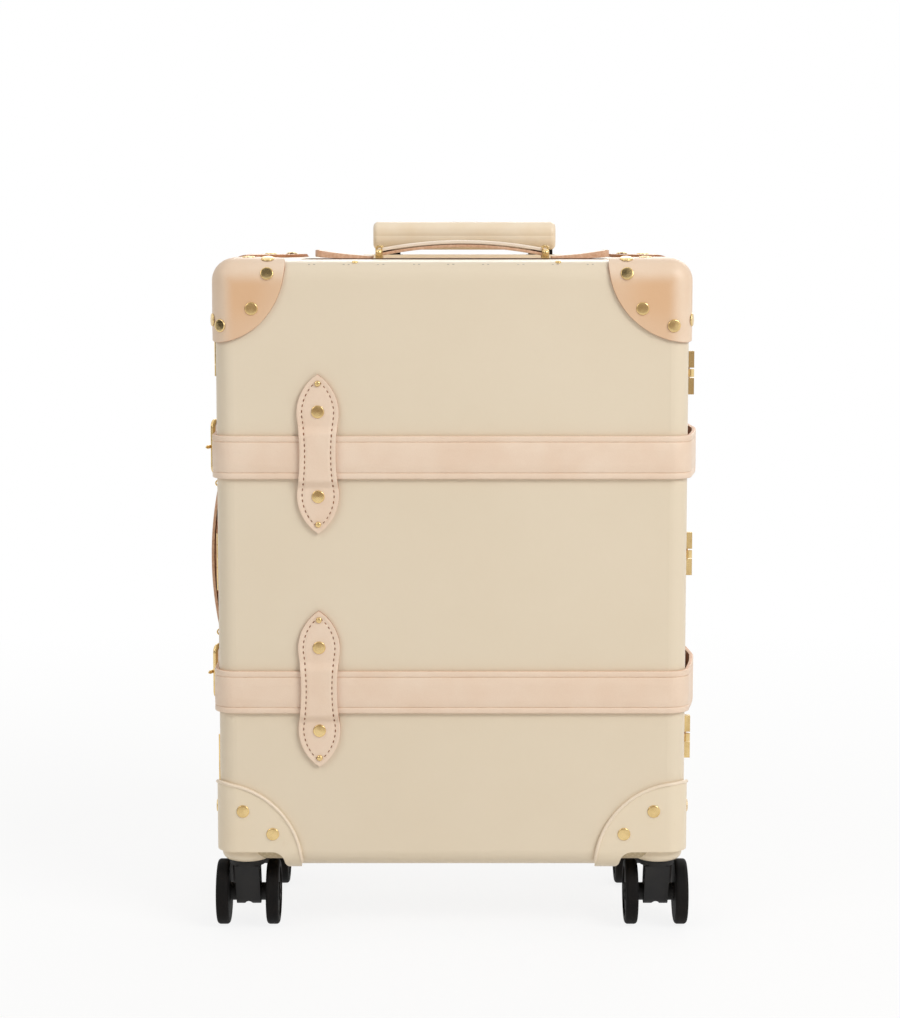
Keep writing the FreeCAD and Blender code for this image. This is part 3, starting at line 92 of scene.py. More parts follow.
# %% [markdown]
# ## Tools for the finishes
# Every finish below is a small graph of shader nodes. Two helpers keep the graphs short: one turns a
# colour picked on a screen, an sRGB hex value, into the linear light that the shader works in, and
# one adds a node, sets it and links it. A node given as an input stands for its first output. A
# pattern's scale counts repeats in a metre, so a size in millimetres is turned over to get it.

# %% Colours, nodes and pattern scales
def linear(hex_value):
    channels = [int(hex_value[place:place + 2], 16) / 255 for place in (1, 3, 5)]
    light = [c / 12.92 if c <= 0.04045 else ((c + 0.055) / 1.055) ** 2.4 for c in channels]
    return (*light, 1.0)


def node(tree, kind, inputs=None, **settings):
    made = tree.nodes.new(kind)
    for name, value in settings.items():
        setattr(made, name, value)
    for socket, value in (inputs or {}).items():
        source, output = value if isinstance(value, tuple) and len(value) == 2 else (value, 0)
        if isinstance(source, bpy.types.Node):
            tree.links.new(source.outputs[output], made.inputs[socket])
        else:
            made.inputs[socket].default_value = linear(value) if isinstance(value, str) else value
    return made


def new_finish(name):
    finish = bpy.data.materials.new(name)
    finish.use_nodes = True
    finish.node_tree.nodes.clear()
    return finish, finish.node_tree


def close_finish(finish, shader):
    node(finish.node_tree, "ShaderNodeOutputMaterial", {"Surface": shader})
    print("made", finish.name)
    return finish


def per_metre(size_mm):
    return 1 / (size_mm * MM)


print("cream #E4D6BE is", [round(c, 3) for c in linear("#E4D6BE")[:3]], "in linear light")

# %% [markdown]
# ## Floor and light
# A catalogue photograph is taken on a white sweep in flat, soft light. The floor is one broad sheet.
# Far off, its white reaches the camera and the polished metal at full strength, and near the case a
# share of its diffuse part stays, which keeps the shadow. The world is an even grey studio. A wide
# softbox from the right gives the modelling, a weaker one on the left opens the shadows, and two more
# stand above and behind. Three cards, as photographers hang for metal, give the brass something to
# reflect: two black ones, and a warm grey one for the dim room behind the camera. The cards and the
# lamps stay out of the camera's sight. Floor and world share one test: is this ray one that the
# camera, a mirror, or clear glass sees directly?

# %% Lay the floor
def seen_directly(tree):
    ray = node(tree, "ShaderNodeLightPath")
    mirrored = {0: (ray, "Is Glossy Ray"), 1: (ray, "Is Transmission Ray")}
    shiny = node(tree, "ShaderNodeMath", mirrored, operation="MAXIMUM")
    return node(tree, "ShaderNodeMath", {0: (ray, "Is Camera Ray"), 1: shiny}, operation="MAXIMUM")


FLOOR_SIZE = 40
NEAR_GLOW, FAR_GLOW = 0.86, 1.0
FADE_START, FADE_END = 0.45, 1.4

bpy.ops.object.select_all(action="DESELECT")
bpy.ops.mesh.primitive_plane_add(size=FLOOR_SIZE, location=(0, 0, 0))
floor = bpy.context.object
floor.name = "studio_floor"
paper, tree = new_finish("matt_white_paper")
sheet = node(tree, "ShaderNodeBsdfDiffuse", {"Color": "#F4F3F1"})
seen = node(tree, "ShaderNodeEmission", {"Color": (1, 1, 1, 1), "Strength": 1.0})
place = (node(tree, "ShaderNodeTexCoord"), "Object")
reach = node(tree, "ShaderNodeVectorMath", {0: place}, operation="LENGTH")
glow = node(tree, "ShaderNodeMapRange", {
    "Value": (reach, "Value"), "From Min": FADE_START, "From Max": FADE_END,
    "To Min": NEAR_GLOW, "To Max": FAR_GLOW})
share = node(tree, "ShaderNodeMath", {0: seen_directly(tree), 1: glow}, operation="MULTIPLY")
mixed = node(tree, "ShaderNodeMixShader", {0: share, 1: sheet, 2: seen})
floor.data.materials.append(close_finish(paper, mixed))
print("floor", [round(value, 1) for value in floor.dimensions])

# %% Light the studio
ROOM_LIGHT = 0.42
LAMP_AIM = Vector((0, 0, 0.3))
CARD_AIM = Vector((0, 0, 0.4))
BLACK_CARD, GREY_CARD = "#100F0E", "#A99B90"

world = bpy.data.worlds.new("studio")
bpy.context.scene.world = world
world.use_nodes = True
tree = world.node_tree
tree.nodes.clear()
room = node(tree, "ShaderNodeBackground", {"Color": (1, 0.985, 0.965, 1), "Strength": ROOM_LIGHT})
white = node(tree, "ShaderNodeBackground", {"Color": (1, 1, 1, 1), "Strength": 1.0})
mixed = node(tree, "ShaderNodeMixShader", {0: seen_directly(tree), 1: room, 2: white})
node(tree, "ShaderNodeOutputWorld", {"Surface": mixed})


def turned_to(aim, place):
    return (aim - Vector(place)).to_track_quat("-Z", "Y").to_euler()


def softbox(name, place, width, height, power):
    turn = turned_to(LAMP_AIM, place)
    bpy.ops.object.light_add(type="AREA", location=place, rotation=turn)
    lamp = bpy.context.object
    lamp.name = name
    lamp.data.shape, lamp.data.size, lamp.data.size_y = "RECTANGLE", width, height
    lamp.data.energy = power
    lamp.visible_camera = False


softbox("softbox_front", (1.9, -2.0, 2.2), 1.6, 1.2, 53)
softbox("softbox_fill", (-2.0, -1.8, 2.2), 1.2, 1.2, 13)
softbox("softbox_top", (-0.3, 0.2, 2.6), 2.0, 2.0, 3)
softbox("softbox_back", (0.6, 3.0, 1.9), 2.4, 1.6, 34)


def hang_card(name, place, width, height, shade):
    """A card of one flat shade that only shiny surfaces see."""
    paper, tree = new_finish(name + "_paper")
    close_finish(paper, node(tree, "ShaderNodeEmission", {"Color": shade, "Strength": 1.0}))
    bpy.ops.mesh.primitive_plane_add(size=1, location=place, rotation=turned_to(CARD_AIM, place))
    card = bpy.context.object
    card.name = name
    card.scale = (width, height, 1)
    card.data.materials.append(paper)
    card.visible_camera = False
    card.visible_shadow = False
    card.visible_diffuse = False


hang_card("card_above", (0.0, -1.7, 1.8), 2.4, 0.9, BLACK_CARD)
hang_card("card_left", (-2.6, -1.1, 0.7), 1.8, 1.6, BLACK_CARD)
hang_card("card_camera", (0.0, -2.6, 0.55), 2.6, 1.1, GREY_CARD)
bpy.context.scene.view_settings.view_transform = "Standard"

# %% [markdown]
# ## Lacquered fibreboard
# The shell is vulcanised fibre, layers of cotton paper pressed into one hard board, bent round a
# frame and lacquered. The lacquer gives a satin cream with a very faint orange-peel ripple, and the
# paper beneath lets the tone drift slowly from place to place. Three noises do that: a broad one for
# the tone, a fine one for the paper's flecks, and one for the ripple.

# %% Finish of the shell
fibreboard, tree = new_finish("lacquered_vulcanised_fibre")
place = (node(tree, "ShaderNodeTexCoord"), "Object")
drift = node(tree, "ShaderNodeTexNoise", {"Vector": place, "Scale": per_metre(130), "Detail": 3.0})
fleck = node(tree, "ShaderNodeTexNoise", {"Vector": place, "Scale": per_metre(3), "Detail": 4.0})
tone = node(tree, "ShaderNodeMixRGB", {"Fac": (drift, "Fac"), "Color1": "#E2D2B8", "Color2": "#EADCC5"})
paper_tone = node(tree, "ShaderNodeMixRGB", {"Fac": (fleck, "Fac"), "Color1": tone, "Color2": "#DFCDB1"})
paper_share = node(tree, "ShaderNodeMixRGB", {"Fac": 0.16, "Color1": tone, "Color2": paper_tone})
satin = node(tree, "ShaderNodeMapRange", {"Value": (drift, "Fac"), "To Min": 0.36, "To Max": 0.46})
peel = node(tree, "ShaderNodeTexNoise", {"Vector": place, "Scale": per_metre(2.6), "Detail": 1.0})
ripple = node(tree, "ShaderNodeBump", {"Height": (peel, "Fac"), "Strength": 0.05, "Distance": 0.3 * MM})
shader = node(tree, "ShaderNodeBsdfPrincipled", {
    "Base Color": paper_share, "Roughness": satin, "Normal": ripple, "IOR": 1.5})
close_finish(fibreboard, shader)

# %% [markdown]
# ## Vegetable-tanned leather
# The corners, straps, pads and handles are undyed leather tanned with bark. New, it is a pale pinkish
# tan, with a fine pebbled grain, soft clouds of colour, and hair-thin wrinkles. The pebbles are the
# cells of a Voronoi pattern about a millimetre wide, and each use of the leather has its own three
# colours: two for the clouds, and one for its pores and for what has darkened. A piece may carry a
# number on its points, called tan, which darkens it where hands and light have: pieces without it
# read zero there.

# %% Finish of the leather
def veg_tan(name, pale, deep, tanned, grain_mm, roughness):
    leather, tree = new_finish(name)
    place = (node(tree, "ShaderNodeTexCoord"), "Object")
    clouds = node(tree, "ShaderNodeTexNoise", {"Vector": place, "Scale": per_metre(28), "Detail": 5.0})
    cloud_share = node(tree, "ShaderNodeMapRange", {
        "Value": (clouds, "Fac"), "From Min": 0.3, "From Max": 0.7})
    tone = node(tree, "ShaderNodeMixRGB", {"Fac": cloud_share, "Color1": pale, "Color2": deep})
    age = node(tree, "ShaderNodeAttribute", attribute_name="tan")
    aged = node(tree, "ShaderNodeMixRGB", {"Fac": (age, "Fac"), "Color1": tone, "Color2": tanned})
    pebbles = node(tree, "ShaderNodeTexVoronoi", {"Vector": place, "Scale": per_metre(grain_mm)})
    wrinkles = node(tree, "ShaderNodeTexNoise", {
        "Vector": place, "Scale": per_metre(6 * grain_mm), "Detail": 6.0, "Distortion": 1.2})
    skin = node(tree, "ShaderNodeMath", {0: (pebbles, "Distance"), 1: (wrinkles, "Fac")}, operation="ADD")
    pore = node(tree, "ShaderNodeMapRange", {"Value": (pebbles, "Distance"), "To Min": 0.0, "To Max": 0.10})
    pored = node(tree, "ShaderNodeMixRGB", {"Fac": pore, "Color1": aged, "Color2": tanned})
    polish = node(tree, "ShaderNodeMapRange", {
        "Value": (clouds, "Fac"), "To Min": roughness - 0.07, "To Max": roughness + 0.07})
    grain = node(tree, "ShaderNodeBump", {"Height": skin, "Strength": 0.22, "Distance": 0.16 * MM})
    shader = node(tree, "ShaderNodeBsdfPrincipled", {
        "Base Color": pored, "Roughness": polish, "Normal": grain, "IOR": 1.48,
        "Sheen Weight": 0.06, "Sheen Roughness": 0.5})
    return close_finish(leather, shader)


corner_leather = veg_tan("moulded_veg_tan_corner", "#F0DCC6", "#EBD3BA", "#DDAE80", 1.1, 0.4)
strap_leather = veg_tan("veg_tan_strap", "#F0DAC4", "#EBD1B9", "#CFA684", 1.0, 0.5)
handle_leather = veg_tan("veg_tan_handle", "#F8ECDC", "#F2E0CC", "#C99B7C", 1.0, 0.46)

# %% [markdown]
# ## Cut edges
# Where leather is cut, its fibres show. The maker rubs them with wax until they close into a smooth
# rust-brown edge, mottled where the fibres end. A fine noise gives the mottling, and its bump the last
# loose fibres.

# %% Finish of cut and burnished edges
def burnished(name, light, dark):
    edge, tree = new_finish(name)
    place = (node(tree, "ShaderNodeTexCoord"), "Object")
    fibres = node(tree, "ShaderNodeTexNoise", {"Vector": place, "Scale": per_metre(2.2), "Detail": 6.0})
    spread = node(tree, "ShaderNodeMapRange", {"Value": (fibres, "Fac"), "From Min": 0.3, "From Max": 0.7})
    tone = node(tree, "ShaderNodeMixRGB", {"Fac": spread, "Color1": light, "Color2": dark})
    nap = node(tree, "ShaderNodeBump", {"Height": (fibres, "Fac"), "Strength": 0.3, "Distance": 0.2 * MM})
    shader = node(tree, "ShaderNodeBsdfPrincipled", {
        "Base Color": tone, "Normal": nap, "Roughness": 0.55, "IOR": 1.45})
    return close_finish(edge, shader)


waxed_edge = burnished("waxed_leather_edge", "#C68B62", "#94603F")
pale_edge = burnished("pale_leather_edge", "#E2BC9F", "#CC9C7C")
# The flesh side is given a dark brown where it faces the trunk or another layer: painted shade on the
# leather's back.
flesh_back_painted_shade = burnished("leather_flesh_back_painted_shade", "#8A5230", "#6E3D20")

# %% [markdown]
# ## Moulded wheel housings
# The lower corners are pressed from the same cream board as the shell but thicker, and lacquered
# harder, so that they take knocks. They are a shade warmer and a little glossier, with a fine stipple
# from the press tool and a few darker scuffs.

# %% Finish of the housings
housing, tree = new_finish("pressed_lacquered_board")
place = (node(tree, "ShaderNodeTexCoord"), "Object")
drift = node(tree, "ShaderNodeTexNoise", {"Vector": place, "Scale": per_metre(45), "Detail": 4.0})
tone = node(tree, "ShaderNodeMixRGB", {"Fac": (drift, "Fac"), "Color1": "#E9D7BA", "Color2": "#EBDDC5"})
scuffs = node(tree, "ShaderNodeTexNoise", {
    "Vector": place, "Scale": per_metre(14), "Detail": 8.0, "Roughness": 0.7, "Distortion": 2.0})
scuff_share = node(tree, "ShaderNodeMapRange", {
    "Value": (scuffs, "Fac"), "From Min": 0.62, "From Max": 0.78, "To Min": 0.0, "To Max": 0.35})
scuffed = node(tree, "ShaderNodeMixRGB", {"Fac": scuff_share, "Color1": tone, "Color2": "#D2B792"})
stipple = node(tree, "ShaderNodeTexNoise", {"Vector": place, "Scale": per_metre(1.2), "Detail": 2.0})
tooth = node(tree, "ShaderNodeBump", {"Height": (stipple, "Fac"), "Strength": 0.07, "Distance": 0.2 * MM})
gloss = node(tree, "ShaderNodeMapRange", {"Value": (scuffs, "Fac"), "To Min": 0.3, "To Max": 0.44})
shader = node(tree, "ShaderNodeBsdfPrincipled", {
    "Base Color": scuffed, "Roughness": gloss, "Normal": tooth, "IOR": 1.5})
close_finish(housing, shader)

# %% [markdown]
# ## Brass
# The rivets, latches, buckles, hinges and lugs are brass, polished and lacquered. Brass is a metal, so
# its colour sits in its reflection. Polishing leaves fine hairlines, and tarnish starts in soft brown
# clouds. The hairlines are a noise stretched by a Mapping node, drawn 0.7 mm apart, coarser than real
# ones so that they show.

# %% Finish of the brass
brass, tree = new_finish("polished_brass")
place = (node(tree, "ShaderNodeTexCoord"), "Object")
clouds = node(tree, "ShaderNodeTexNoise", {"Vector": place, "Scale": per_metre(9), "Detail": 5.0})
tarnish = node(tree, "ShaderNodeMapRange", {
    "Value": (clouds, "Fac"), "From Min": 0.42, "From Max": 0.72, "To Min": 0.0, "To Max": 0.45})
tone = node(tree, "ShaderNodeMixRGB", {"Fac": tarnish, "Color1": "#E9CC92", "Color2": "#B8945A"})
along = node(tree, "ShaderNodeMapping", {"Vector": place, "Scale": (1.0, 0.12, 0.12)})
hairlines = node(tree, "ShaderNodeTexNoise", {"Vector": along, "Scale": per_metre(0.7), "Detail": 2.0})
scratch = node(tree, "ShaderNodeBump", {
    "Height": (hairlines, "Fac"), "Strength": 0.08, "Distance": 0.05 * MM})
shine = node(tree, "ShaderNodeMapRange", {"Value": (clouds, "Fac"), "To Min": 0.16, "To Max": 0.32})
shader = node(tree, "ShaderNodeBsdfPrincipled", {
    "Base Color": tone, "Metallic": 1.0, "Roughness": shine, "Normal": scratch})
close_finish(brass, shader)

# %% [markdown]
# ## The pull handle, casters and wheels
# The grip is moulded plastic in a warm cream. The tubes are black anodised aluminium, faintly cloudy
# from handling. The casters are black nylon with a spark-eroded texture, and the wheels black
# polyurethane, dull and a little dusty from the floor. One function makes all these finishes, because
# they differ only in colour, gloss, and texture.

# %% Finishes of plastic, tube and wheel
def moulded(name, base, dust, texture_mm, roughness, dust_share, metal=0.0, gleam=0.5):
    skin, tree = new_finish(name)
    place = (node(tree, "ShaderNodeTexCoord"), "Object")
    clouds = node(tree, "ShaderNodeTexNoise", {"Vector": place, "Scale": per_metre(22), "Detail": 6.0})
    powder = node(tree, "ShaderNodeMapRange", {
        "Value": (clouds, "Fac"), "From Min": 0.4, "From Max": 0.75, "To Min": 0.0, "To Max": dust_share})
    tone = node(tree, "ShaderNodeMixRGB", {"Fac": powder, "Color1": base, "Color2": dust})
    spark = node(tree, "ShaderNodeTexNoise", {"Vector": place, "Scale": per_metre(texture_mm), "Detail": 3.0})
    tooth = node(tree, "ShaderNodeBump", {"Height": (spark, "Fac"), "Strength": 0.12, "Distance": 0.12 * MM})
    gloss = node(tree, "ShaderNodeMapRange", {
        "Value": (clouds, "Fac"), "To Min": roughness - 0.06, "To Max": roughness + 0.08})
    shader = node(tree, "ShaderNodeBsdfPrincipled", {
        "Base Color": tone, "Roughness": gloss, "Normal": tooth, "Metallic": metal,
        "Specular IOR Level": gleam})
    return close_finish(skin, shader)


grip_plastic = moulded("cream_abs", "#F4E3C9", "#EAD1AC", 1.0, 0.34, 0.5)
black_tube = moulded("black_anodised_aluminium", "#1E1D1C", "#3A3836", 0.6, 0.34, 0.3, metal=0.8)
black_nylon = moulded("spark_textured_nylon", "#1B1A1A", "#383532", 0.8, 0.55, 0.35, gleam=0.3)
wheel_rubber = moulded("black_polyurethane", "#100F0F", "#2C2622", 1.0, 0.72, 0.4, gleam=0.14)

# %% [markdown]
# ## Lining cloth, thread and steel
# Inside, the case is lined with a cotton twill. Its weave is two sets of fine ribs, drawn here 3 mm
# apart so that they show. A Wave texture counts in radians, 20 to each unit of its scale. The seams
# are sewn with waxed linen thread, mottled like a burnished edge, and the shell is tacked to its frame
# with steel staples.

# %% Finishes of cloth, thread and steel
RIB_PITCH, WAVE_RADIANS = 3.0, 20
RIB_TURNS = ((0.4, 0.3, 0.75), (0.4, 0.3, -0.75))
RIB_SCALE = math.tau * per_metre(RIB_PITCH) / WAVE_RADIANS
lining_cloth, tree = new_finish("cotton_twill")
place = (node(tree, "ShaderNodeTexCoord"), "Object")
ribs = []
for turn in RIB_TURNS:
    turned = node(tree, "ShaderNodeMapping", {"Vector": place, "Rotation": turn})
    ribs.append(node(tree, "ShaderNodeTexWave", {
        "Vector": turned, "Scale": RIB_SCALE, "Distortion": 1.5, "Detail": 2.0, "Detail Scale": 3.0}))
weave = node(tree, "ShaderNodeMath", {0: (ribs[0], "Fac"), 1: (ribs[1], "Fac")}, operation="MULTIPLY")
fade = node(tree, "ShaderNodeTexNoise", {"Vector": place, "Scale": per_metre(60), "Detail": 4.0})
yarn = node(tree, "ShaderNodeMixRGB", {"Fac": (fade, "Fac"), "Color1": "#C9B694", "Color2": "#D6C6A8"})
woven = node(tree, "ShaderNodeMixRGB", {"Fac": weave, "Color1": "#AE9A77", "Color2": yarn})
thread_share = node(tree, "ShaderNodeMixRGB", {"Fac": 0.45, "Color1": yarn, "Color2": woven})
relief = node(tree, "ShaderNodeBump", {"Height": weave, "Strength": 0.4, "Distance": 0.3 * MM})
shader = node(tree, "ShaderNodeBsdfPrincipled", {
    "Base Color": thread_share, "Normal": relief, "Roughness": 0.85, "Sheen Weight": 0.25,
    "Sheen Roughness": 0.4})
close_finish(lining_cloth, shader)

linen_thread = burnished("waxed_linen_thread", "#96643F", "#744528")
staple_steel = moulded("galvanised_steel", "#CDC5B6", "#A79E90", 0.8, 0.45, 0.6, metal=0.7)
# The seam piping's dark brown is painted shade for the gap between lid and base.
seam_gap_shade = burnished("seam_gap_painted_shade", "#5B3A2A", "#3E2619")

# %% [markdown]
# ## Finishes on the CAD pieces
# The hard pieces keep their CAD shape, so each only gets its finish. The record groups the nodes by
# material, but the finish is chosen here by name, because that is how a person would sort the parts
# on a bench.

# %% Dress the CAD nodes
def dress(finish, *names):
    for name in names:
        slots = nodes[name].material_slots
        for slot in slots:
            slot.material = finish
        if not slots:
            nodes[name].data.materials.append(finish)


HALVES = {"lid": -1, "base": 1}
SIDES = {"left": -1, "right": 1}
CASTERS = [face + "_" + side for face in ("front", "rear") for side in SIDES]
dress(fibreboard, "lid_shell", "base_shell", "base_rim")
dress(housing, *(f"{half}_wheel_housing_{side}" for half in HALVES for side in SIDES))
dress(brass, "lid_rivets", "base_rivets", "top_handle_lugs", "side_handle_lugs", "top_handle_pins",
      "side_handle_pins", "latch_plates", "latch_catches", "hinge_base_leaves", "hinge_lid_leaves",
      "hinge_pins",
      *(f"latch_lever_{row}" for row in ("upper", "middle", "lower")),
      *(f"buckle_{piece}_{row}" for piece in ("frame", "prong") for row in ("upper", "lower")))
dress(grip_plastic, "trolley_grip", "trolley_bezel")
dress(black_tube, "trolley_sleeves", "trolley_middle_tubes", "trolley_inner_tubes")
dress(black_nylon, "trolley_foot", "trolley_button", *(f"caster_fork_{spot}" for spot in CASTERS))
dress(wheel_rubber, *(f"wheel_{spot}_{side}" for spot in CASTERS for side in SIDES))
print("dressed", sum(1 for made in nodes.values() if made.material_slots), "nodes")

# %% [markdown]
# ## Hand tools for modelling
# Blender's operators work on whatever is selected, so each step below first selects one object and
# nothing else. The same few jobs come up again and again, and each has a short tool here: to start a
# piece, pick edges or faces, cut faces away, weld points and turn the normals out, to thicken a piece,
# round its edges and shade it, and to copy and join pieces. One tool presses a point onto the trunk's
# rounded box, as a damp hide is pressed over a corner, and one settles a finished piece at the origin
# and tells the frame which body carries it.

# %% Select, start and edit a piece
def take(obj):
    if bpy.context.object and bpy.context.object.mode != "OBJECT":
        bpy.ops.object.mode_set(mode="OBJECT")
    bpy.ops.object.select_all(action="DESELECT")
    obj.select_set(True)
    bpy.context.view_layer.objects.active = obj


def fresh_grid(columns, rows):
    bpy.ops.object.select_all(action="DESELECT")
    bpy.ops.mesh.primitive_grid_add(x_subdivisions=columns, y_subdivisions=rows, size=2)
    return bpy.context.object


def fresh_cube(location=(0, 0, 0)):
    bpy.ops.object.select_all(action="DESELECT")
    bpy.ops.mesh.primitive_cube_add(size=1, location=location)
    return bpy.context.object


def fresh_disc(points, radius):
    bpy.ops.object.select_all(action="DESELECT")
    bpy.ops.mesh.primitive_circle_add(vertices=points, radius=radius, fill_type="NGON")
    return bpy.context.object


def edit_all(obj):
    take(obj)
    bpy.ops.object.mode_set(mode="EDIT")
    bpy.ops.mesh.select_all(action="SELECT")


def weld(obj, distance_mm):
    edit_all(obj)
    bpy.ops.mesh.remove_doubles(threshold=distance_mm * MM)
    bpy.ops.object.mode_set(mode="OBJECT")


def turn_outward(obj):
    edit_all(obj)
    bpy.ops.mesh.normals_make_consistent(inside=False)
    bpy.ops.object.mode_set(mode="OBJECT")


def pick(obj, kind, wanted):
    """Starts to edit a piece, with the edges or faces selected that a test picks out."""
    take(obj)
    bpy.ops.object.mode_set(mode="EDIT")
    bpy.ops.mesh.select_mode(type=kind)
    bpy.ops.mesh.select_all(action="DESELECT")
    shape = bmesh.from_edit_mesh(obj.data)
    for item in shape.edges if kind == "EDGE" else shape.faces:
        item.select = wanted(item)


def cut_away(obj, unwanted):
    pick(obj, "FACE", unwanted)
    bpy.ops.mesh.delete(type="FACE")
    bpy.ops.object.mode_set(mode="OBJECT")


def clad(obj, *finishes):
    for finish in finishes:
        obj.data.materials.append(finish)


# %% Apply, press, settle and copy
def apply_modifier(obj, kind, **settings):
    take(obj)
    modifier = obj.modifiers.new(kind.lower(), kind)
    for name, value in settings.items():
        setattr(modifier, name, value)
    bpy.ops.object.modifier_apply(modifier=modifier.name)


def thicken(obj, thick_mm, offset, **more):
    apply_modifier(obj, "SOLIDIFY", thickness=thick_mm * MM, offset=offset, **more)


def round_edges(obj, width_mm, segments, degrees, **more):
    apply_modifier(obj, "BEVEL", width=width_mm * MM, segments=segments, limit_method="ANGLE",
                   angle_limit=math.radians(degrees), **more)


def smooth(obj, degrees):
    take(obj)
    bpy.ops.object.shade_smooth_by_angle(angle=math.radians(degrees))


def clamp(value, low, high):
    return max(low, min(high, value))


def smoothstep(low, high, value):
    share = clamp((value - low) / (high - low), 0.0, 1.0)
    return share * share * (3 - 2 * share)


def on_trunk(point, lift):
    half_height = (TOP - BOTTOM) / 2
    middle = Vector((0, 0, (TOP + BOTTOM) / 2))
    local = point - middle
    core_x = clamp(local.x, CORNER_RADIUS - HALF_WIDTH, HALF_WIDTH - CORNER_RADIUS)
    core_z = clamp(local.z, CORNER_RADIUS - half_height, half_height - CORNER_RADIUS)
    spread = Vector((local.x - core_x, 0, local.z - core_z))
    if spread.length > CORNER_RADIUS - EDGE_RADIUS:
        spread = spread.normalized() * (CORNER_RADIUS - EDGE_RADIUS)
    core_y = clamp(local.y, FRONT + EDGE_RADIUS, BACK - EDGE_RADIUS)
    core = middle + Vector((core_x, core_y, core_z)) + spread
    outward = (point - core).normalized()
    return core + outward * (EDGE_RADIUS + lift)


def settle(obj, name, body, stands_for=()):
    take(obj)
    bpy.ops.object.transform_apply(location=True, rotation=True, scale=True)
    obj.name = obj.data.name = name
    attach(obj, body)
    if stands_for:
        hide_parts(*stands_for)
    print(name, "has", len(obj.data.polygons), "faces")
    return obj


def stand(place, outward):
    return Matrix.Translation(place) @ outward.to_track_quat("Z", "Y").to_matrix().to_4x4()


def copy_to(pattern, placing):
    copy = pattern.copy()
    copy.data = pattern.data.copy()
    bpy.context.collection.objects.link(copy)
    copy.matrix_world = placing
    return copy


def join_all(parts):
    bpy.ops.object.select_all(action="DESELECT")
    for part in parts:
        part.select_set(True)
    bpy.context.view_layer.objects.active = parts[0]
    bpy.ops.object.join()
    return bpy.context.object


def join_copies(pattern, placings, name, body, stands_for=()):
    copies = [copy_to(pattern, placing) for placing in placings]
    settle(join_all(copies), name, body, stands_for)


# %% [markdown]
# ## Leather corners
# Each top corner wears a disc of thick leather, wetted and pressed over the corner until it fits like a cap.
# It could be cut from a sphere, but a hide bends round the edges and lies flat on the faces. So the start is
# a cube at the corner with its three inner faces taken off. Its square faces are rounded off into quarter
# discs, and every point is then pressed onto the trunk. Solidify gives the hide its thickness, with the rim
# in the cut-edge finish. The tan number is high on the flat of each face and highest in its middle. It is low
# round the bends, which it leaves pale as a painted highlight where light falls on the rounding.

# %% Press the four corner caps
CAP_REACH = Vector((58.3, 59.0, 61.5))
CAP_SHIFT = 4.2
CAP_SKIN, CAP_CLEAR = 2.4, 0.05
CAP_CUTS = 27
TAN_LEAST, TAN_FLAT, TAN_FADE = 0.12, 0.7, 0.22
TAN_MIDDLE = (0.36, 0.4)


def disc_share(along, across, third):
    return along * math.sqrt(1 - across * across / 2) * math.sqrt(1 - third * third / 2)


def tan_with_bend_highlight_at(share):
    """How tanned the hide is, from how far a point lies from the corner along each axis, kept low on the
    bends as a painted highlight.
    """
    flat = sorted(share)[1:]
    fade = TAN_FADE * smoothstep(0.1, 0.5, math.dist(flat, TAN_MIDDLE))
    # TAN_LEAST on the bends is a painted highlight on the rounding; the flat faces carry the real tan.
    return TAN_LEAST + smoothstep(0.1, 0.3, flat[0]) * (TAN_FLAT - fade)


def press_cap(side_name, side, half, face):
    corner = Vector((side * HALF_WIDTH, FRONT if face < 0 else BACK, TOP))
    reach = Vector((CAP_REACH.x - CAP_SHIFT * side * face, CAP_REACH.y, CAP_REACH.z))
    inward = Vector((-side, -face, -1))
    cap = fresh_cube((0.5, 0.5, 0.5))
    bpy.ops.object.transform_apply(location=True)
    cut_away(cap, lambda cube_face: sum(cube_face.normal) > 0)
    edit_all(cap)
    bpy.ops.mesh.subdivide(number_cuts=CAP_CUTS)
    bpy.ops.object.mode_set(mode="OBJECT")
    tan = cap.data.attributes.new("tan", "FLOAT", "POINT")
    for point in cap.data.vertices:
        a, b, c = point.co
        share = Vector((disc_share(a, b, c), disc_share(b, c, a), disc_share(c, a, b)))
        # The tan number darkens the flat faces and leaves the bends pale as a painted highlight.
        tan.data[point.index].value = tan_with_bend_highlight_at(share)
        offset = Vector(share[axis] * reach[axis] * inward[axis] for axis in range(3))
        point.co = on_trunk(corner + offset, CAP_SKIN + CAP_CLEAR) * MM
    turn_outward(cap)
    middle = cap.data.polygons[len(cap.data.polygons) // 2]
    if middle.normal.dot(-inward) < 0:
        cap.data.flip_normals()
    clad(cap, corner_leather, waxed_edge)
    thicken(cap, CAP_SKIN, -1, use_even_offset=True, material_offset_rim=1)
    round_edges(cap, 0.9, 3, 50, material=1)
    smooth(cap, 40)
    settle(cap, f"leather_cap_{half}_{side_name}", half, [f"{half}_corner_{side_name}"])


for half, face in HALVES.items():
    for side_name, side in SIDES.items():
        press_cap(side_name, side, half, face)

# %% [markdown]
# ## Rivets
# The rivets are stamped with a flat, slightly crowned head and a rolled rim: the rim catches a bright
# spark while the head mirrors one patch of the studio. A ball would be too round. So one head is drawn
# as a disc, extruded, bevelled at the rim and raised a touch in the middle. It is then copied to each
# place where the CAD has a head, which the CAD mesh itself tells: in each loose part, the flat
# underside gives the place, the direction, and the size.

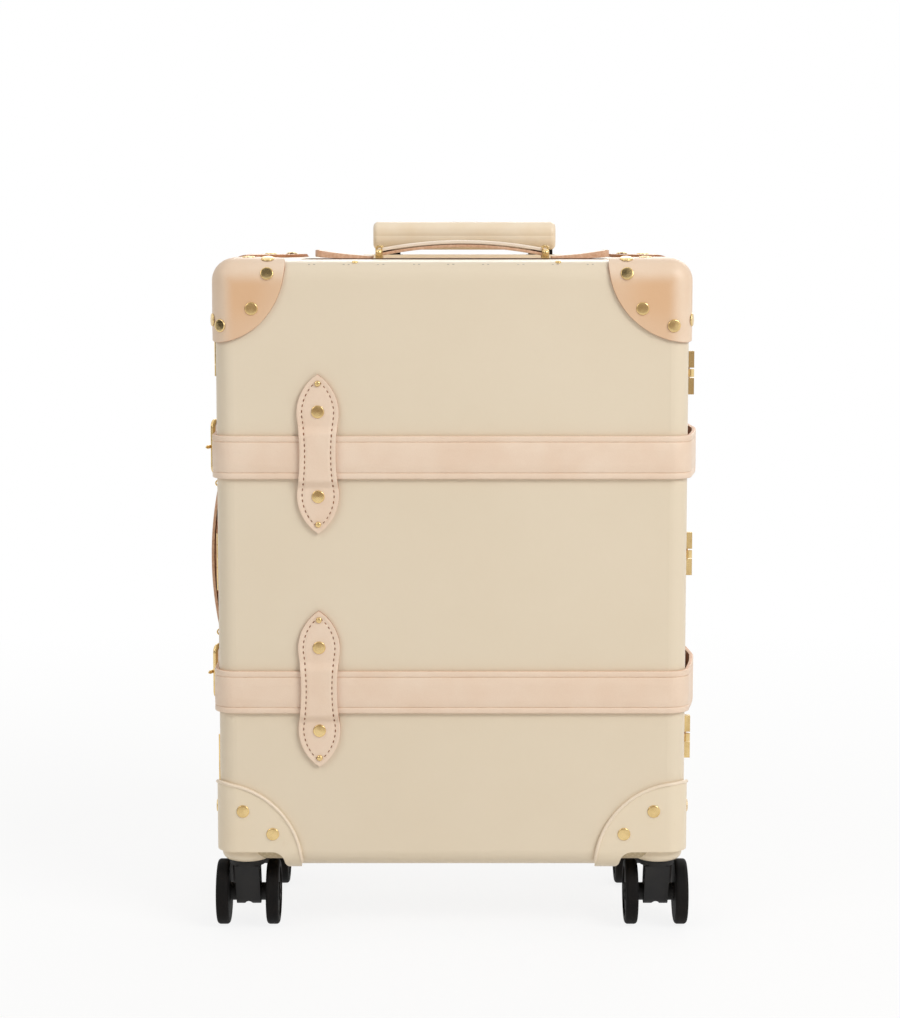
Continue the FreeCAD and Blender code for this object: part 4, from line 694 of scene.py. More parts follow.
# %% Read the rivet places from the CAD
def flat_undersides(node_name):
    shape = bmesh.new()
    shape.from_mesh(nodes[node_name].data)
    bmesh.ops.remove_doubles(shape, verts=shape.verts, dist=0.01 * MM)
    waiting, found = set(shape.faces), []
    while waiting:
        part, edge_of_search = set(), [waiting.pop()]
        while edge_of_search:
            current = edge_of_search.pop()
            part.add(current)
            for edge in current.edges:
                for neighbour in edge.link_faces:
                    if neighbour in waiting:
                        waiting.remove(neighbour)
                        edge_of_search.append(neighbour)
        groups = {}
        for triangle in part:
            if triangle.calc_area() > 0:
                key = tuple(round(value, 2) for value in triangle.normal)
                groups.setdefault(key, []).append(triangle)
        under = max(groups.values(), key=lambda group: sum(t.calc_area() for t in group))
        area = sum(t.calc_area() for t in under)
        centre = sum((t.calc_center_median() * t.calc_area() for t in under), Vector()) / area
        found.append((centre, -under[0].normal.copy(), 2 * math.sqrt(area / math.pi)))
    shape.free()
    return sorted(found, key=lambda place: tuple(place[0]))


rivet_places = {half: flat_undersides(half + "_rivets") for half in HALVES}
for half, places in rivet_places.items():
    print(half, len(places), "rivets, diameters", sorted({round(p[2] / MM, 1) for p in places}))

# %% Stamp one head and copy it
RIVET_SIDES = 32
RIM_HEIGHT, RIM_ROUND = 0.8, 0.62
CROWN_STEPS, CROWN_WIDTH, CROWN_RISE = (0.3, 0.3, 0.35), 0.42, 0.07
WIDE_HEAD, SMALL_HEAD = (10 * MM, 1.2 * MM), (4.6 * MM, 1.9 * MM)
WIDE_FROM = 7 * MM


def stamp_head(diameter, height):
    head = fresh_disc(RIVET_SIDES, diameter / 2)
    edit_all(head)
    bpy.ops.mesh.extrude_region_move(TRANSFORM_OT_translate={"value": (0, 0, height * RIM_HEIGHT)})
    bpy.ops.mesh.bevel(offset=height * RIM_ROUND, segments=4, affect="EDGES")
    pick(head, "FACE", lambda face: face.normal.z > 0.999)
    for share in CROWN_STEPS:
        bpy.ops.mesh.inset(thickness=diameter * CROWN_WIDTH * share)
        bpy.ops.transform.translate(value=(0, 0, height * CROWN_RISE))
    turn_outward(head)
    clad(head, brass)
    smooth(head, 45)
    return head


def drive_rivets(half):
    heads = [copy_to(pattern_heads[diameter > WIDE_FROM], stand(centre, normal))
             for centre, normal, diameter in rivet_places[half]]
    settle(join_all(heads), f"{half}_rivet_heads", half, [f"{half}_rivets"])


pattern_heads = {True: stamp_head(*WIDE_HEAD), False: stamp_head(*SMALL_HEAD)}
for half in HALVES:
    drive_rivets(half)
for pattern in pattern_heads.values():
    bpy.data.objects.remove(pattern)

# %% [markdown]
# ## Straps
# Two bridle straps go round the trunk. Each is a bar of leather with rounded edges and two creases run
# in with a hot iron near its edges. A ribbon with a bump map would hide the creases at its silhouette,
# so the section is drawn once, creases and all, and pushed round the trunk: extrude along each side,
# spin round each corner. The right side hangs a little off the trunk, as the buckle's pull leaves it.

# %% The section of a strap
STRAP_LEVELS = {"upper": 375.0, "lower": 193.0}
STRAP_HALF, STRAP_THICK = 16.5, 3.2
STRAP_GAP = 0.3
TURN_STEPS = 14
CREASE = STRAP_HALF - 4.7

half_section = [(STRAP_HALF - 0.4, 0.0), (STRAP_HALF, 0.5), (STRAP_HALF, 2.5), (STRAP_HALF - 0.25, 2.95),
                (STRAP_HALF - 0.7, STRAP_THICK), (CREASE + 0.75, STRAP_THICK), (CREASE + 0.35, 3.0),
                (CREASE, 2.45), (CREASE - 0.35, 3.0), (CREASE - 0.75, STRAP_THICK), (4.0, STRAP_THICK)]
strap_section = half_section + [(-across, out) for across, out in reversed(half_section)]


def lay_section(section, height, place, outward):
    """A filled section standing at place, its thickness along outward and its width upright."""
    made = fresh_disc(len(section), 0.01)
    for point, (across, out) in zip(made.data.vertices, section):
        point.co = (Vector((place[0], place[1], height + across)) + Vector((*outward, 0)) * out) * MM
    return made


def push_along(made, moves):
    """Pushes a section along runs and round corners, then clears the faces left inside.

    Spin turns clockwise for a positive angle, so its sign is changed here.
    """
    edit_all(made)
    bpy.ops.mesh.select_mode(type="FACE")
    for kind, first, second in moves:
        if kind == "run":
            bpy.ops.mesh.extrude_region_move(TRANSFORM_OT_translate={"value": (first * MM, second * MM, 0)})
        else:
            centre = (first[0] * MM, first[1] * MM, 0)
            bpy.ops.mesh.spin(steps=TURN_STEPS, angle=-math.radians(second), center=centre, axis=(0, 0, 1))
    shape = bmesh.from_edit_mesh(made.data)
    bmesh.ops.remove_doubles(shape, verts=shape.verts, dist=0.005 * MM)
    inside = [f for f in shape.faces if len(f.verts) > 6 and all(len(e.link_faces) > 2 for e in f.edges)]
    bmesh.ops.delete(shape, geom=inside, context="FACES_ONLY")
    bmesh.ops.recalc_face_normals(shape, faces=shape.faces)
    bmesh.update_edit_mesh(made.data)
    bpy.ops.object.mode_set(mode="OBJECT")


def tint_strap(made):
    """Grain outside, the flesh side against the trunk in a dark brown that is painted shade, pale cut edges
    above and below.
    """
    clad(made, strap_leather, flesh_back_painted_shade, pale_edge)
    for face in made.data.polygons:
        middle = face.center / MM
        core_x, core_y = clamp(middle.x, -CORNER_X, CORNER_X), clamp(middle.y, -CORNER_Y, CORNER_Y)
        outward = (middle - Vector((core_x, core_y, middle.z))).normalized()
        if face.normal.dot(outward) < -0.8:
            face.material_index = 1
        elif abs(face.normal.z) > 0.9 and len(face.vertices) == 4:
            face.material_index = 2
    smooth(made, 35)


SIDE = HALF_WIDTH + STRAP_GAP
CORNER_X, CORNER_Y = HALF_WIDTH - EDGE_RADIUS, -FRONT - EDGE_RADIUS
STRAP_BOW, STRAP_BELLY = 4.0, 4.5
BELLY_STEPS = 10
SEAM_CUT = 0.2


def hang_off(end_y, face):
    """The slant of the strap's right side, the run from its corner to the seam, and where that ends."""
    slant = math.atan2(STRAP_BOW, abs(face * CORNER_Y - end_y))
    radius = SIDE - CORNER_X
    start = Vector((CORNER_X + radius * math.cos(slant), face * (CORNER_Y + radius * math.sin(slant))))
    length = abs(end_y - start.y) / math.cos(slant)
    run = Vector((math.sin(slant), -face * math.cos(slant))) * length
    return slant, run, start + run


def belly_out(strap, face):
    """Swells the strap's right side away from the trunk, most at the seam."""
    for point in strap.data.vertices:
        if point.co.x > CORNER_X * MM:
            share = clamp((point.co.y / MM - SEAM) / (face * CORNER_Y - SEAM), 0, 1)
            on_side = smoothstep(CORNER_X, HALF_WIDTH, point.co.x / MM)
            point.co.x += STRAP_BELLY * (1 - share * share) * on_side * MM


# %% Push the front straps round the lid
for level, height in STRAP_LEVELS.items():
    slant, run, _ = hang_off(SEAM - SEAM_CUT, -1)
    strap = lay_section(strap_section, height, (-SIDE, SEAM - SEAM_CUT), (-1, 0))
    push_along(strap, [
        ("run", 0, -CORNER_Y - (SEAM - SEAM_CUT)), ("turn", (-CORNER_X, -CORNER_Y), 90),
        ("run", 2 * CORNER_X, 0), ("turn", (CORNER_X, -CORNER_Y), 90 - math.degrees(slant)),
        *[("run", run.x / BELLY_STEPS, run.y / BELLY_STEPS)] * BELLY_STEPS])
    belly_out(strap, -1)
    tint_strap(strap)
    settle(strap, f"front_strap_{level}", "lid", [f"strap_front_{level}"])

# %% [markdown]
# ## Rear straps, loose ends and keepers
# The rear half of a strap starts at the seam on the right, goes round the back, and ends on the left
# rolled round the buckle's bar, thinned and slit for the prong. The loose end of the strap comes through
# the buckle, over the roll, and under a keeper. It is drawn as a flat grid, bent along its path in plan
# and narrowed to a round tip, then given its thickness.

# %% Push the rear straps and roll their ends
BAR = (-185.2, 14.5)
REAR_END, ROLL_START, ROLL_TURN = 24.0, 26.0, -258
ROLL_WALL = 1.6
PRONG_SLIT = 3.0

for level, height in STRAP_LEVELS.items():
    slant, run, end = hang_off(SEAM + SEAM_CUT, 1)
    strap = lay_section(strap_section, height, end, (math.cos(slant), math.sin(slant)))
    push_along(strap, [
        *[("run", -run.x / BELLY_STEPS, -run.y / BELLY_STEPS)] * BELLY_STEPS,
        ("turn", (CORNER_X, CORNER_Y), 90 - math.degrees(slant)), ("run", -2 * CORNER_X, 0),
        ("turn", (-CORNER_X, CORNER_Y), 90), ("run", 0, REAR_END - CORNER_Y)])
    belly_out(strap, 1)
    tint_strap(strap)
    parts = [strap]
    for sign in (1, -1):
        low, high = sign * PRONG_SLIT, sign * STRAP_HALF
        rolled = [(low, 0.0), (high, 0.0), (high, ROLL_WALL), (low, ROLL_WALL)]
        roll = lay_section(rolled, height, (-SIDE, ROLL_START), (-1, 0))
        push_along(roll, [("run", 0, BAR[1] - ROLL_START), ("turn", BAR, ROLL_TURN)])
        round_edges(roll, 0.4, 2, 60)
        clad(roll, strap_leather)
        parts.append(roll)
    smooth(join_all(parts), 35)
    settle(strap, f"rear_strap_{level}", "base", [f"strap_rear_{level}"])

# %% Bend the loose ends
TAIL_PLAN = [(-182.6, -19.7), (-182.6, -15.8), (-190.7, 10.6), (-190.7, 18.4), (-186.1, 26.2), (-186.1, 72.0)]
TAIL_THICK, TIP_TRIM = 2.4, 0.05
TAIL_SMOOTHING = 5.0
TAIL_CUTS = (96, 22)
SLIT_FROM, SLIT_TO = -11.5, 19.0


def along_plan(plan, distance):
    for (x0, y0), (x1, y1) in zip(plan, plan[1:]):
        span = math.hypot(x1 - x0, y1 - y0)
        if distance <= span or (x1, y1) == plan[-1]:
            share = distance / span
            return Vector((x0 + (x1 - x0) * share, y0 + (y1 - y0) * share, 0))
        distance -= span


def softened(plan, distance, total):
    reach = min(TAIL_SMOOTHING, distance, total - distance)
    steps = [along_plan(plan, distance + reach * place / 4) for place in range(-4, 5)]
    return sum(steps, Vector()) / len(steps)


def bend_tail(level, height):
    total = sum(math.dist(a, b) for a, b in zip(TAIL_PLAN, TAIL_PLAN[1:]))

    def in_slit(face):
        middle = face.calc_center_median()
        place_y = softened(TAIL_PLAN, (middle.x + 1) / 2 * total, total).y
        return abs(middle.y) * STRAP_HALF < PRONG_SLIT and SLIT_FROM < place_y < SLIT_TO

    tail = fresh_grid(*TAIL_CUTS)
    cut_away(tail, in_slit)
    for point in tail.data.vertices:
        distance = (point.co.x + 1) / 2 * total
        spot = softened(TAIL_PLAN, distance, total)
        tip = clamp(distance - (total - STRAP_HALF), 0, STRAP_HALF - TIP_TRIM)
        half = math.sqrt(STRAP_HALF ** 2 - tip ** 2)
        point.co = Vector((spot.x, spot.y, height + point.co.y * half)) * MM
    outside = sum(1 if face.normal.x < 0 else -1 for face in tail.data.polygons)
    if outside < 0:
        tail.data.flip_normals()
    # The tail's back takes the flesh finish, a dark brown that paints its shade.
    clad(tail, strap_leather, flesh_back_painted_shade, pale_edge)
    thicken(tail, TAIL_THICK, 0, use_even_offset=True, material_offset=1, material_offset_rim=2)
    round_edges(tail, 0.5, 2, 60)
    smooth(tail, 40)
    settle(tail, f"strap_tail_{level}", "base")


for level, height in STRAP_LEVELS.items():
    bend_tail(level, height)

# %% Wrap the keepers
KEEPER_LOW, KEEPER_HIGH = Vector((-189.4, 41.0, -18.5)), Vector((-181.05, 51.0, 18.5))
KEEPER_WALL, KEEPER_ROUND = 1.7, 4.0
keeper_middle, keeper_size = (KEEPER_LOW + KEEPER_HIGH) / 2, KEEPER_HIGH - KEEPER_LOW


def on_outer_edge(edge):
    """Whether an edge is one of the two, above and below, that the keeper's outer face ends in."""
    middle = (edge.verts[0].co + edge.verts[1].co) / 2 / MM
    return abs(middle.y - keeper_middle.y) < 0.1 and middle.x < KEEPER_LOW.x + 1


for level, height in STRAP_LEVELS.items():
    keeper = fresh_cube((keeper_middle + Vector((0, 0, height))) * MM)
    keeper.scale = keeper_size * MM
    bpy.ops.object.transform_apply(location=True, scale=True)
    pick(keeper, "EDGE", on_outer_edge)
    bpy.ops.mesh.bevel(offset=KEEPER_ROUND * MM, segments=6, affect="EDGES")
    cut_away(keeper, lambda face: abs(face.normal.y) > 0.9)
    # The keeper's inside takes the flesh finish, a dark brown that paints its shade.
    clad(keeper, strap_leather, flesh_back_painted_shade, pale_edge)
    thicken(keeper, KEEPER_WALL, -1, use_even_offset=True, material_offset=1, material_offset_rim=2)
    round_edges(keeper, 0.4, 2, 60)
    smooth(keeper, 40)
    settle(keeper, f"strap_keeper_{level}", "base")

# %% [markdown]
# ## Strap pads
# Leaf-shaped pads hold each strap to the trunk, sewn and riveted above and below it. A pad lies flat at
# its points and steps over the strap, so it isn't a flat cut-out. A grid is shaped to the leaf, with
# its two ends drawn to a point, and each row is lifted by the step. Solidify adds the thickness, with
# the rim as a cut edge. Along the seam the surface is pressed in a little, where the thread pulls.

# %% The pad's outline and step
PAD_X = -102.5
PAD_HALF, PAD_SHOULDER = 61.0, 28.5
PAD_WIDE, PAD_WAIST, POINT_FULLNESS = 16.0, 13.8, 5.0
PAD_THICK, PAD_SKIN, PAD_CLEAR = 3.0, 2.95, 0.03
STRAP_RISE, STEP_TOP, STEP_FOOT = 3.8, 16.6, 24.5
SEAM_IN, SEAM_PULL, SEAM_SPREAD = 3.9, 0.5, 0.9
POINT_TRIM, POINT_SLOPE = 0.02, 0.55
PAD_CUTS = (28, 120)


def circle_through(a, b, c):
    """The middle and the radius of the circle through three points."""
    (ax, ay), (bx, by), (cx, cy) = a, b, c
    aa, bb, cc = ax * ax + ay * ay, bx * bx + by * by, cx * cx + cy * cy
    d = 2 * (ax * (by - cy) + bx * (cy - ay) + cx * (ay - by))
    ux = (aa * (by - cy) + bb * (cy - ay) + cc * (ay - by)) / d
    uy = (aa * (cx - bx) + bb * (ax - cx) + cc * (bx - ax)) / d
    return ux, uy, math.dist((ux, uy), a)


chord = math.hypot(PAD_WIDE, PAD_HALF - PAD_SHOULDER)
point_bulge = (PAD_WIDE / 2 + POINT_FULLNESS * (PAD_HALF - PAD_SHOULDER) / chord,
               (PAD_HALF + PAD_SHOULDER) / 2 + POINT_FULLNESS * PAD_WIDE / chord)
point_arc = circle_through((0, PAD_HALF), point_bulge, (PAD_WIDE, PAD_SHOULDER))
waist_arc = circle_through((PAD_WIDE, PAD_SHOULDER), (PAD_WAIST, 0), (PAD_WIDE, -PAD_SHOULDER))


def pad_half_width(v):
    v = abs(v)
    if v > PAD_SHOULDER:
        x, y, radius = point_arc
        return max(0.0, x + math.sqrt(max(0.0, radius ** 2 - (v - y) ** 2)))
    x, y, radius = waist_arc
    return x - math.sqrt(radius ** 2 - (v - y) ** 2)


def pad_rise(from_strap):
    return STRAP_RISE * (1 - smoothstep(STEP_TOP, STEP_FOOT, abs(from_strap)))


def pad_face(from_strap):
    return -FRONT + PAD_CLEAR + pad_rise(from_strap) + PAD_THICK


print("half width at shoulder and waist:", [round(pad_half_width(v), 1) for v in (PAD_SHOULDER, 0)])


# %% Cut, step and sew the pads
def cut_pad(name, strap_z, shift, face, body, node_names):
    pad = fresh_grid(*PAD_CUTS)
    for point in pad.data.vertices:
        u, v = point.co.x, point.co.y * (PAD_HALF - POINT_TRIM)
        half = pad_half_width(v)
        inside = min((1 - abs(u)) * half, (PAD_HALF - abs(v)) * POINT_SLOPE)
        pull = SEAM_PULL * math.exp(-((inside - SEAM_IN) / SEAM_SPREAD) ** 2)
        out = pad_face(v + shift) - pull
        point.co = Vector((PAD_X + u * half, face * out, strap_z + shift + v)) * MM
    weld(pad, 0.02)
    if sum(f.normal.y for f in pad.data.polygons) * face < 0:
        pad.data.flip_normals()
    clad(pad, strap_leather, waxed_edge)
    thicken(pad, PAD_SKIN, -1, material_offset_rim=1)
    round_edges(pad, 0.6, 3, 60)
    smooth(pad, 45)
    settle(pad, name, body, node_names)


PAD_LIFT = 2.5
PADS = [(f"front_pad_{level}", height, PAD_LIFT, -1, "lid", [f"strap_pad_{level}"])
        for level, height in STRAP_LEVELS.items()]
PADS += [("rear_pad_upper", STRAP_LEVELS["upper"], 0.0, 1, "base", ["rear_strap_pads"]),
         ("rear_pad_lower", STRAP_LEVELS["lower"], 0.0, 1, "base", [])]
for pad in PADS:
    cut_pad(*pad)

# %% [markdown]
# ## Stitching
# The thread runs 4 mm inside the pad's edge, about six stitches to the inch. From the front each stitch
# is a short dark bead, sunk at both ends. One stitch is drawn from a low ball stretched along its
# seam, and copied along the line, which is worked out from the pad's own outline.

# %% Sew along the pads
STITCH_PITCH, STITCH_SUNK = 4.3, 0.42
STITCH_SIZE = Vector((1.25, 0.875, 2.5))
SEAM_STEPS = 120


def seam_line():
    heights = [PAD_HALF * (1 - step / SEAM_STEPS) for step in range(2 * SEAM_STEPS + 1)]
    points = [Vector((pad_half_width(v), v)) for v in heights]
    inset = []
    for before, here, after in zip(points, points[1:], points[2:]):
        along = (after - before).normalized()
        spot = here + Vector((along.y, -along.x)) * SEAM_IN
        if spot.x > 0.3:
            inset.append(spot)
    return inset + [Vector((-spot.x, spot.y)) for spot in reversed(inset)]


def even_spots(line, pitch):
    spots, left = [], pitch / 2
    for a, b in zip(line, line[1:]):
        span = (b - a).length
        while left <= span:
            spots.append((a + (b - a) * (left / span), (b - a).normalized()))
            left += pitch
        left -= span
    return spots


bpy.ops.object.select_all(action="DESELECT")
bpy.ops.mesh.primitive_uv_sphere_add(segments=8, ring_count=6, radius=0.5)
stitch = bpy.context.object
edit_all(stitch)
bpy.ops.transform.resize(value=STITCH_SIZE * MM)
bpy.ops.object.mode_set(mode="OBJECT")
clad(stitch, linen_thread)
bpy.ops.object.shade_smooth()

seam_spots = even_spots(seam_line(), STITCH_PITCH)
for name, strap_z, shift, face, body, node_names in PADS:
    placings = []
    for spot, along in seam_spots:
        out = pad_face(spot.y + shift) - STITCH_SUNK
        slope = pad_rise(spot.y + shift + 0.5) - pad_rise(spot.y + shift - 0.5)
        run = Vector((along.x, face * slope * along.y, along.y)).normalized()
        place = Vector((PAD_X + spot.x, face * out, strap_z + shift + spot.y)) * MM
        placings.append(stand(place, run))
    join_copies(stitch, placings, name + "_stitching", body)
bpy.data.objects.remove(stitch)
print(len(seam_spots), "stitches a pad")

# %% [markdown]
# ## Carry handles
# A carry handle is one long strip of leather, folded round the two pins and sewn back on itself, so that from
# the side it is two layers with a dark line between, where the inner faces are painted dark brown as shade. A
# grid is laid along that closed path, over the top, round a pin, back below, and round the other pin.
# Solidify thickens it inwards until the two layers nearly meet. The outer layer's cut edge takes a paler
# finish than the inner layer's: painted light on the outer layer and painted shade on the inner one, on one
# strip's edge. The top and side handles differ only in span, direction and these edge finishes.

# %% Fold the handles round their pins
EYE, PIN_RISE = 3.0, 5.02
UNDER_CROWN, OVER_CROWN, UPPER_FROM = 4.0, 9.5, 5.0
LAYER = 2.5
HANDLE_HALF_WIDTH = 11.9
ARC_STEPS, EYE_STEPS, WIDTH_STEPS = 48, 10, 10
TOP_HANDLE = {"span": 132.0, "middle": Vector((8.0, 8.0, TOP + PIN_RISE)),
              "along": Vector((1, 0, 0)), "outward": Vector((0, 0, 1))}
SIDE_HANDLE = {"span": 122.0, "middle": Vector((-HALF_WIDTH - PIN_RISE, 30.0, 282.0)),
               "along": Vector((0, 0, 1)), "outward": Vector((-1, 0, 0))}


def bow(half, low, high, share):
    """A point of the shallow arc from -half to half, low at its ends and high in the middle."""
    x = half * (2 * share - 1)
    radius = (half * half + (high - low) ** 2) / (2 * (high - low))
    return x, high - radius + math.sqrt(radius * radius - x * x)


def fold_path(half):
    path = [bow(half, EYE, OVER_CROWN, step / ARC_STEPS) for step in range(ARC_STEPS)]
    for step in range(EYE_STEPS):
        turn = math.pi / 2 - math.pi * step / EYE_STEPS
        path.append((half + EYE * math.cos(turn), EYE * math.sin(turn)))
    path += [bow(half, -EYE, UNDER_CROWN, 1 - step / ARC_STEPS) for step in range(ARC_STEPS)]
    for step in range(EYE_STEPS):
        turn = -math.pi / 2 - math.pi * step / EYE_STEPS
        path.append((-half + EYE * math.cos(turn), EYE * math.sin(turn)))
    return path


def fold_handle(name, node_name, cuts, span, middle, along, outward):
    path = fold_path(span / 2)
    handle = fresh_grid(len(path), WIDTH_STEPS)
    for point in handle.data.vertices:
        step = round((point.co.x + 1) / 2 * len(path)) % len(path)
        x, z = path[step]
        across = Vector((0, point.co.y * HANDLE_HALF_WIDTH, 0))
        point.co = (middle + along * x + outward * z + across) * MM
    weld(handle, 0.01)
    lowest = (middle.dot(outward) + UPPER_FROM) * MM
    upper = [face for face in handle.data.polygons if face.center.dot(outward) > lowest]
    if sum(face.normal.dot(outward) for face in upper) < 0:
        handle.data.flip_normals()
    # The inner faces take the flesh finish, dark brown as painted shade between the layers.
    clad(handle, handle_leather, flesh_back_painted_shade, *cuts)
    thicken(handle, LAYER, -1, material_offset=1, material_offset_rim=2)
    # The outer layer's cut edge keeps the first, paler finish and the inner layer's takes the second, darker
    # one: painted light and painted shade.
    for face in handle.data.polygons:
        spot = face.center / MM - middle
        share = clamp(spot.dot(along) / span + 0.5, 0, 1)
        between = bow(span / 2, 0, (UNDER_CROWN + OVER_CROWN) / 2, share)[1]
        if face.material_index == 2 and spot.dot(outward) < between:
            face.material_index = 3
    round_edges(handle, 0.55, 2, 60)
    smooth(handle, 40)
    settle(handle, name, node_name, [node_name])


# Each pair of edge finishes is paler first and darker second: painted light on the outer layer, painted shade
# on the inner one.
fold_handle("top_handle_strap", "top_handle", (handle_leather, pale_edge), **TOP_HANDLE)
fold_handle("side_handle_strap", "side_handle", (pale_edge, waxed_edge), **SIDE_HANDLE)

# %% [markdown]
# ## Handle tabs
# Beside each end of the top handle a stiff wedge of sole leather lies on the trunk, thin under the lug
# and thick at its free end, which springs up a little. A cube is cut into slices along its length, and
# the slices are moved to the tab's lift, thickness, and waist. The sides show the paler cut.

# %% Shape the two tabs
TAB_FLAT, TAB_LONG, TAB_LIFT = 19.0, 46.0, 1.5
TAB_THICK, TAB_THIN, TAB_HALF = 5.9, 2.1, 12.8
TAB_INNER = {"right": 79.0, "left": -63.0}
TAB_Y, TAB_CLEAR = 8.0, 0.05
TAB_CUP, TAB_NOSE = 0.5, 2.5
TAB_WAIST, TAB_TAPER, TAB_SPRING = 0.84, 0.05, 1.35
TAB_CUTS = (23, 7, 0)


def cut_box(obj, cuts):
    """Cuts the box's edges along each axis into slices."""
    def runs_along_axis(edge):
        return abs((edge.verts[1].co - edge.verts[0].co).normalized()[axis]) > 0.9

    for axis, count in enumerate(cuts):
        if count:
            pick(obj, "EDGE", runs_along_axis)
            bpy.ops.mesh.subdivide(number_cuts=count)
    bpy.ops.object.mode_set(mode="OBJECT")


def shape_tab(side_name, sign):
    tab = fresh_cube()
    cut_box(tab, TAB_CUTS)
    for point in tab.data.vertices:
        share = point.co.x + 0.5
        distance = share * TAB_LONG
        lift = TAB_LIFT * clamp((distance - TAB_FLAT) / (TAB_LONG - TAB_FLAT), 0, 1) ** TAB_SPRING
        thick = TAB_THIN + (TAB_THICK - TAB_THIN) * share
        waist = TAB_WAIST + (1 - TAB_WAIST) * smoothstep(0, 0.5, share)
        half = TAB_HALF * waist * (1 - TAB_TAPER * smoothstep(0.85, 1, share))
        from_edge, at_nose = 1 - (2 * point.co.y) ** 2, smoothstep(0.9, 1, share)
        cup = TAB_CUP * from_edge * smoothstep(0.4, 1, share)
        height = TOP + TAB_CLEAR + lift + (point.co.z + 0.5) * (thick - cup)
        x = TAB_INNER[side_name] + sign * (distance - TAB_NOSE * at_nose * (1 - from_edge))
        point.co = Vector((x, TAB_Y + 2 * point.co.y * half, height)) * MM
    turn_outward(tab)
    clad(tab, handle_leather, flesh_back_painted_shade, pale_edge)
    for face in tab.data.polygons:
        # The underside takes the flesh finish, dark brown as painted shade against the trunk.
        face.material_index = 0 if face.normal.z > 0.6 else (1 if face.normal.z < -0.6 else 2)
    round_edges(tab, 0.5, 2, 50)
    smooth(tab, 40)
    return settle(tab, f"handle_tab_{side_name}", "base")


tab_right = shape_tab("right", 1)
shape_tab("left", -1)
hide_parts("top_handle_tabs")

# %% [markdown]
# ## Handle lugs
# Each end of a handle hangs in a small cast saddle: a foot on the case and two cheeks, each with a
# slot in which the pin rises as the handle is lifted. The CAD cheeks are square, while a casting like
# this is filed round over its slot. Two rings of points are bridged into a flat washer, which is drawn
# up into a slot, squared down to the foot, and extruded to the cheek's thickness. A cube makes the foot.

# %% File the lugs round
LUG_HALF, LUG_SLOT, LUG_THICK, LUG_FOOT = 2.85, 1.65, 1.5, 0.8
LUG_ROOM, PIN_HEIGHT, PIN_TRAVEL = 12.3, 5.0, 3.0
LUG_POINTS = 36


def cheek_point(spot):
    """A washer's point, drawn up above the pin, or squared onto the foot below it."""
    if spot.y > 0.01:
        return spot + Vector((0, PIN_TRAVEL, 0))
    if spot.length < (LUG_HALF + LUG_SLOT) / 2 or spot.y > -0.01:
        return spot
    way = spot.normalized()
    return way * min(LUG_HALF / max(abs(way.x), 0.01), PIN_HEIGHT / -way.y)


bpy.ops.object.select_all(action="DESELECT")
bpy.ops.mesh.primitive_circle_add(vertices=LUG_POINTS, radius=LUG_HALF * MM, fill_type="NOTHING")
cheek = bpy.context.object
bpy.ops.object.mode_set(mode="EDIT")
bpy.ops.mesh.primitive_circle_add(vertices=LUG_POINTS, radius=LUG_SLOT * MM, fill_type="NOTHING")
bpy.ops.mesh.select_all(action="SELECT")
bpy.ops.mesh.bridge_edge_loops()
bpy.ops.object.mode_set(mode="OBJECT")
for point in cheek.data.vertices:
    point.co = cheek_point(point.co / MM) * MM
edit_all(cheek)
bpy.ops.mesh.extrude_region_move(TRANSFORM_OT_translate={"value": (0, 0, LUG_THICK * MM)})
bpy.ops.mesh.select_all(action="SELECT")
bpy.ops.mesh.normals_make_consistent(inside=False)
bpy.ops.mesh.duplicate_move(TRANSFORM_OT_translate={"value": (0, 0, (2 * LUG_ROOM + LUG_THICK) * MM)})
bpy.ops.mesh.select_all(action="SELECT")
bpy.ops.transform.translate(value=(0, 0, -(LUG_ROOM + LUG_THICK) * MM))
bpy.ops.mesh.select_all(action="DESELECT")
bpy.ops.mesh.primitive_cube_add(size=MM, location=(0, (LUG_FOOT / 2 - PIN_HEIGHT) * MM, 0))
bpy.ops.transform.resize(value=(2 * LUG_HALF, LUG_FOOT, 2 * LUG_ROOM))
bpy.ops.object.mode_set(mode="OBJECT")
clad(cheek, brass)
round_edges(cheek, 0.25, 2, 50)
smooth(cheek, 40)


def set_lugs(name, node_name, span, middle, along, outward):
    turn = Matrix((along, outward, along.cross(outward))).transposed().to_4x4()
    ends = [(middle + along * span * share) * MM for share in (-0.5, 0.5)]
    join_copies(cheek, [Matrix.Translation(end) @ turn for end in ends], name, "base", [node_name])


set_lugs("top_handle_saddles", "top_handle_lugs", **TOP_HANDLE)
set_lugs("side_handle_saddles", "side_handle_lugs", **SIDE_HANDLE)
bpy.data.objects.remove(cheek)

# %% [markdown]
# ## Hinge rivets
# A hinge leaf on a trunk is riveted through the board, three small heads to a leaf. The head is the
# corner rivet's shape over again, only smaller, so the same function stamps it, and it is copied down
# the two rows of every hinge.

# %% Drive the hinge rivets
HINGE_HEAD, HINGE_HEAD_HIGH = 4.6, 1.1
HINGE_MIDDLES = (121.0, 284.0, 455.0)
HINGE_STEPS = (-15.5, 0.0, 15.5)
LEAF_FACE = -HALF_WIDTH - 1.72
HINGE_ROWS = {"base": -8.0, "lid": -32.0}

hinge_head = stamp_head(HINGE_HEAD * MM, HINGE_HEAD_HIGH * MM)
for half, row in HINGE_ROWS.items():
    spots = [Vector((LEAF_FACE, row, middle + step)) * MM for middle in HINGE_MIDDLES for step in HINGE_STEPS]
    placings = [Matrix.Translation(spot) @ Matrix.Rotation(-math.pi / 2, 4, "Y") for spot in spots]
    join_copies(hinge_head, placings, half + "_hinge_rivets", half)
bpy.data.objects.remove(hinge_head)

# %% [markdown]
# ## Cloth linings
# Each half is lined with cotton twill, pasted to the inside of the board and turned under at the rim,
# so it follows the walls with a little slack. A cloth simulation would only find the walls again, so
# the cloth is laid directly: a box without its seam side, cut into small squares, every point pressed
# onto the inner wall, and slow noise pulling it off the wall by up to a millimetre.

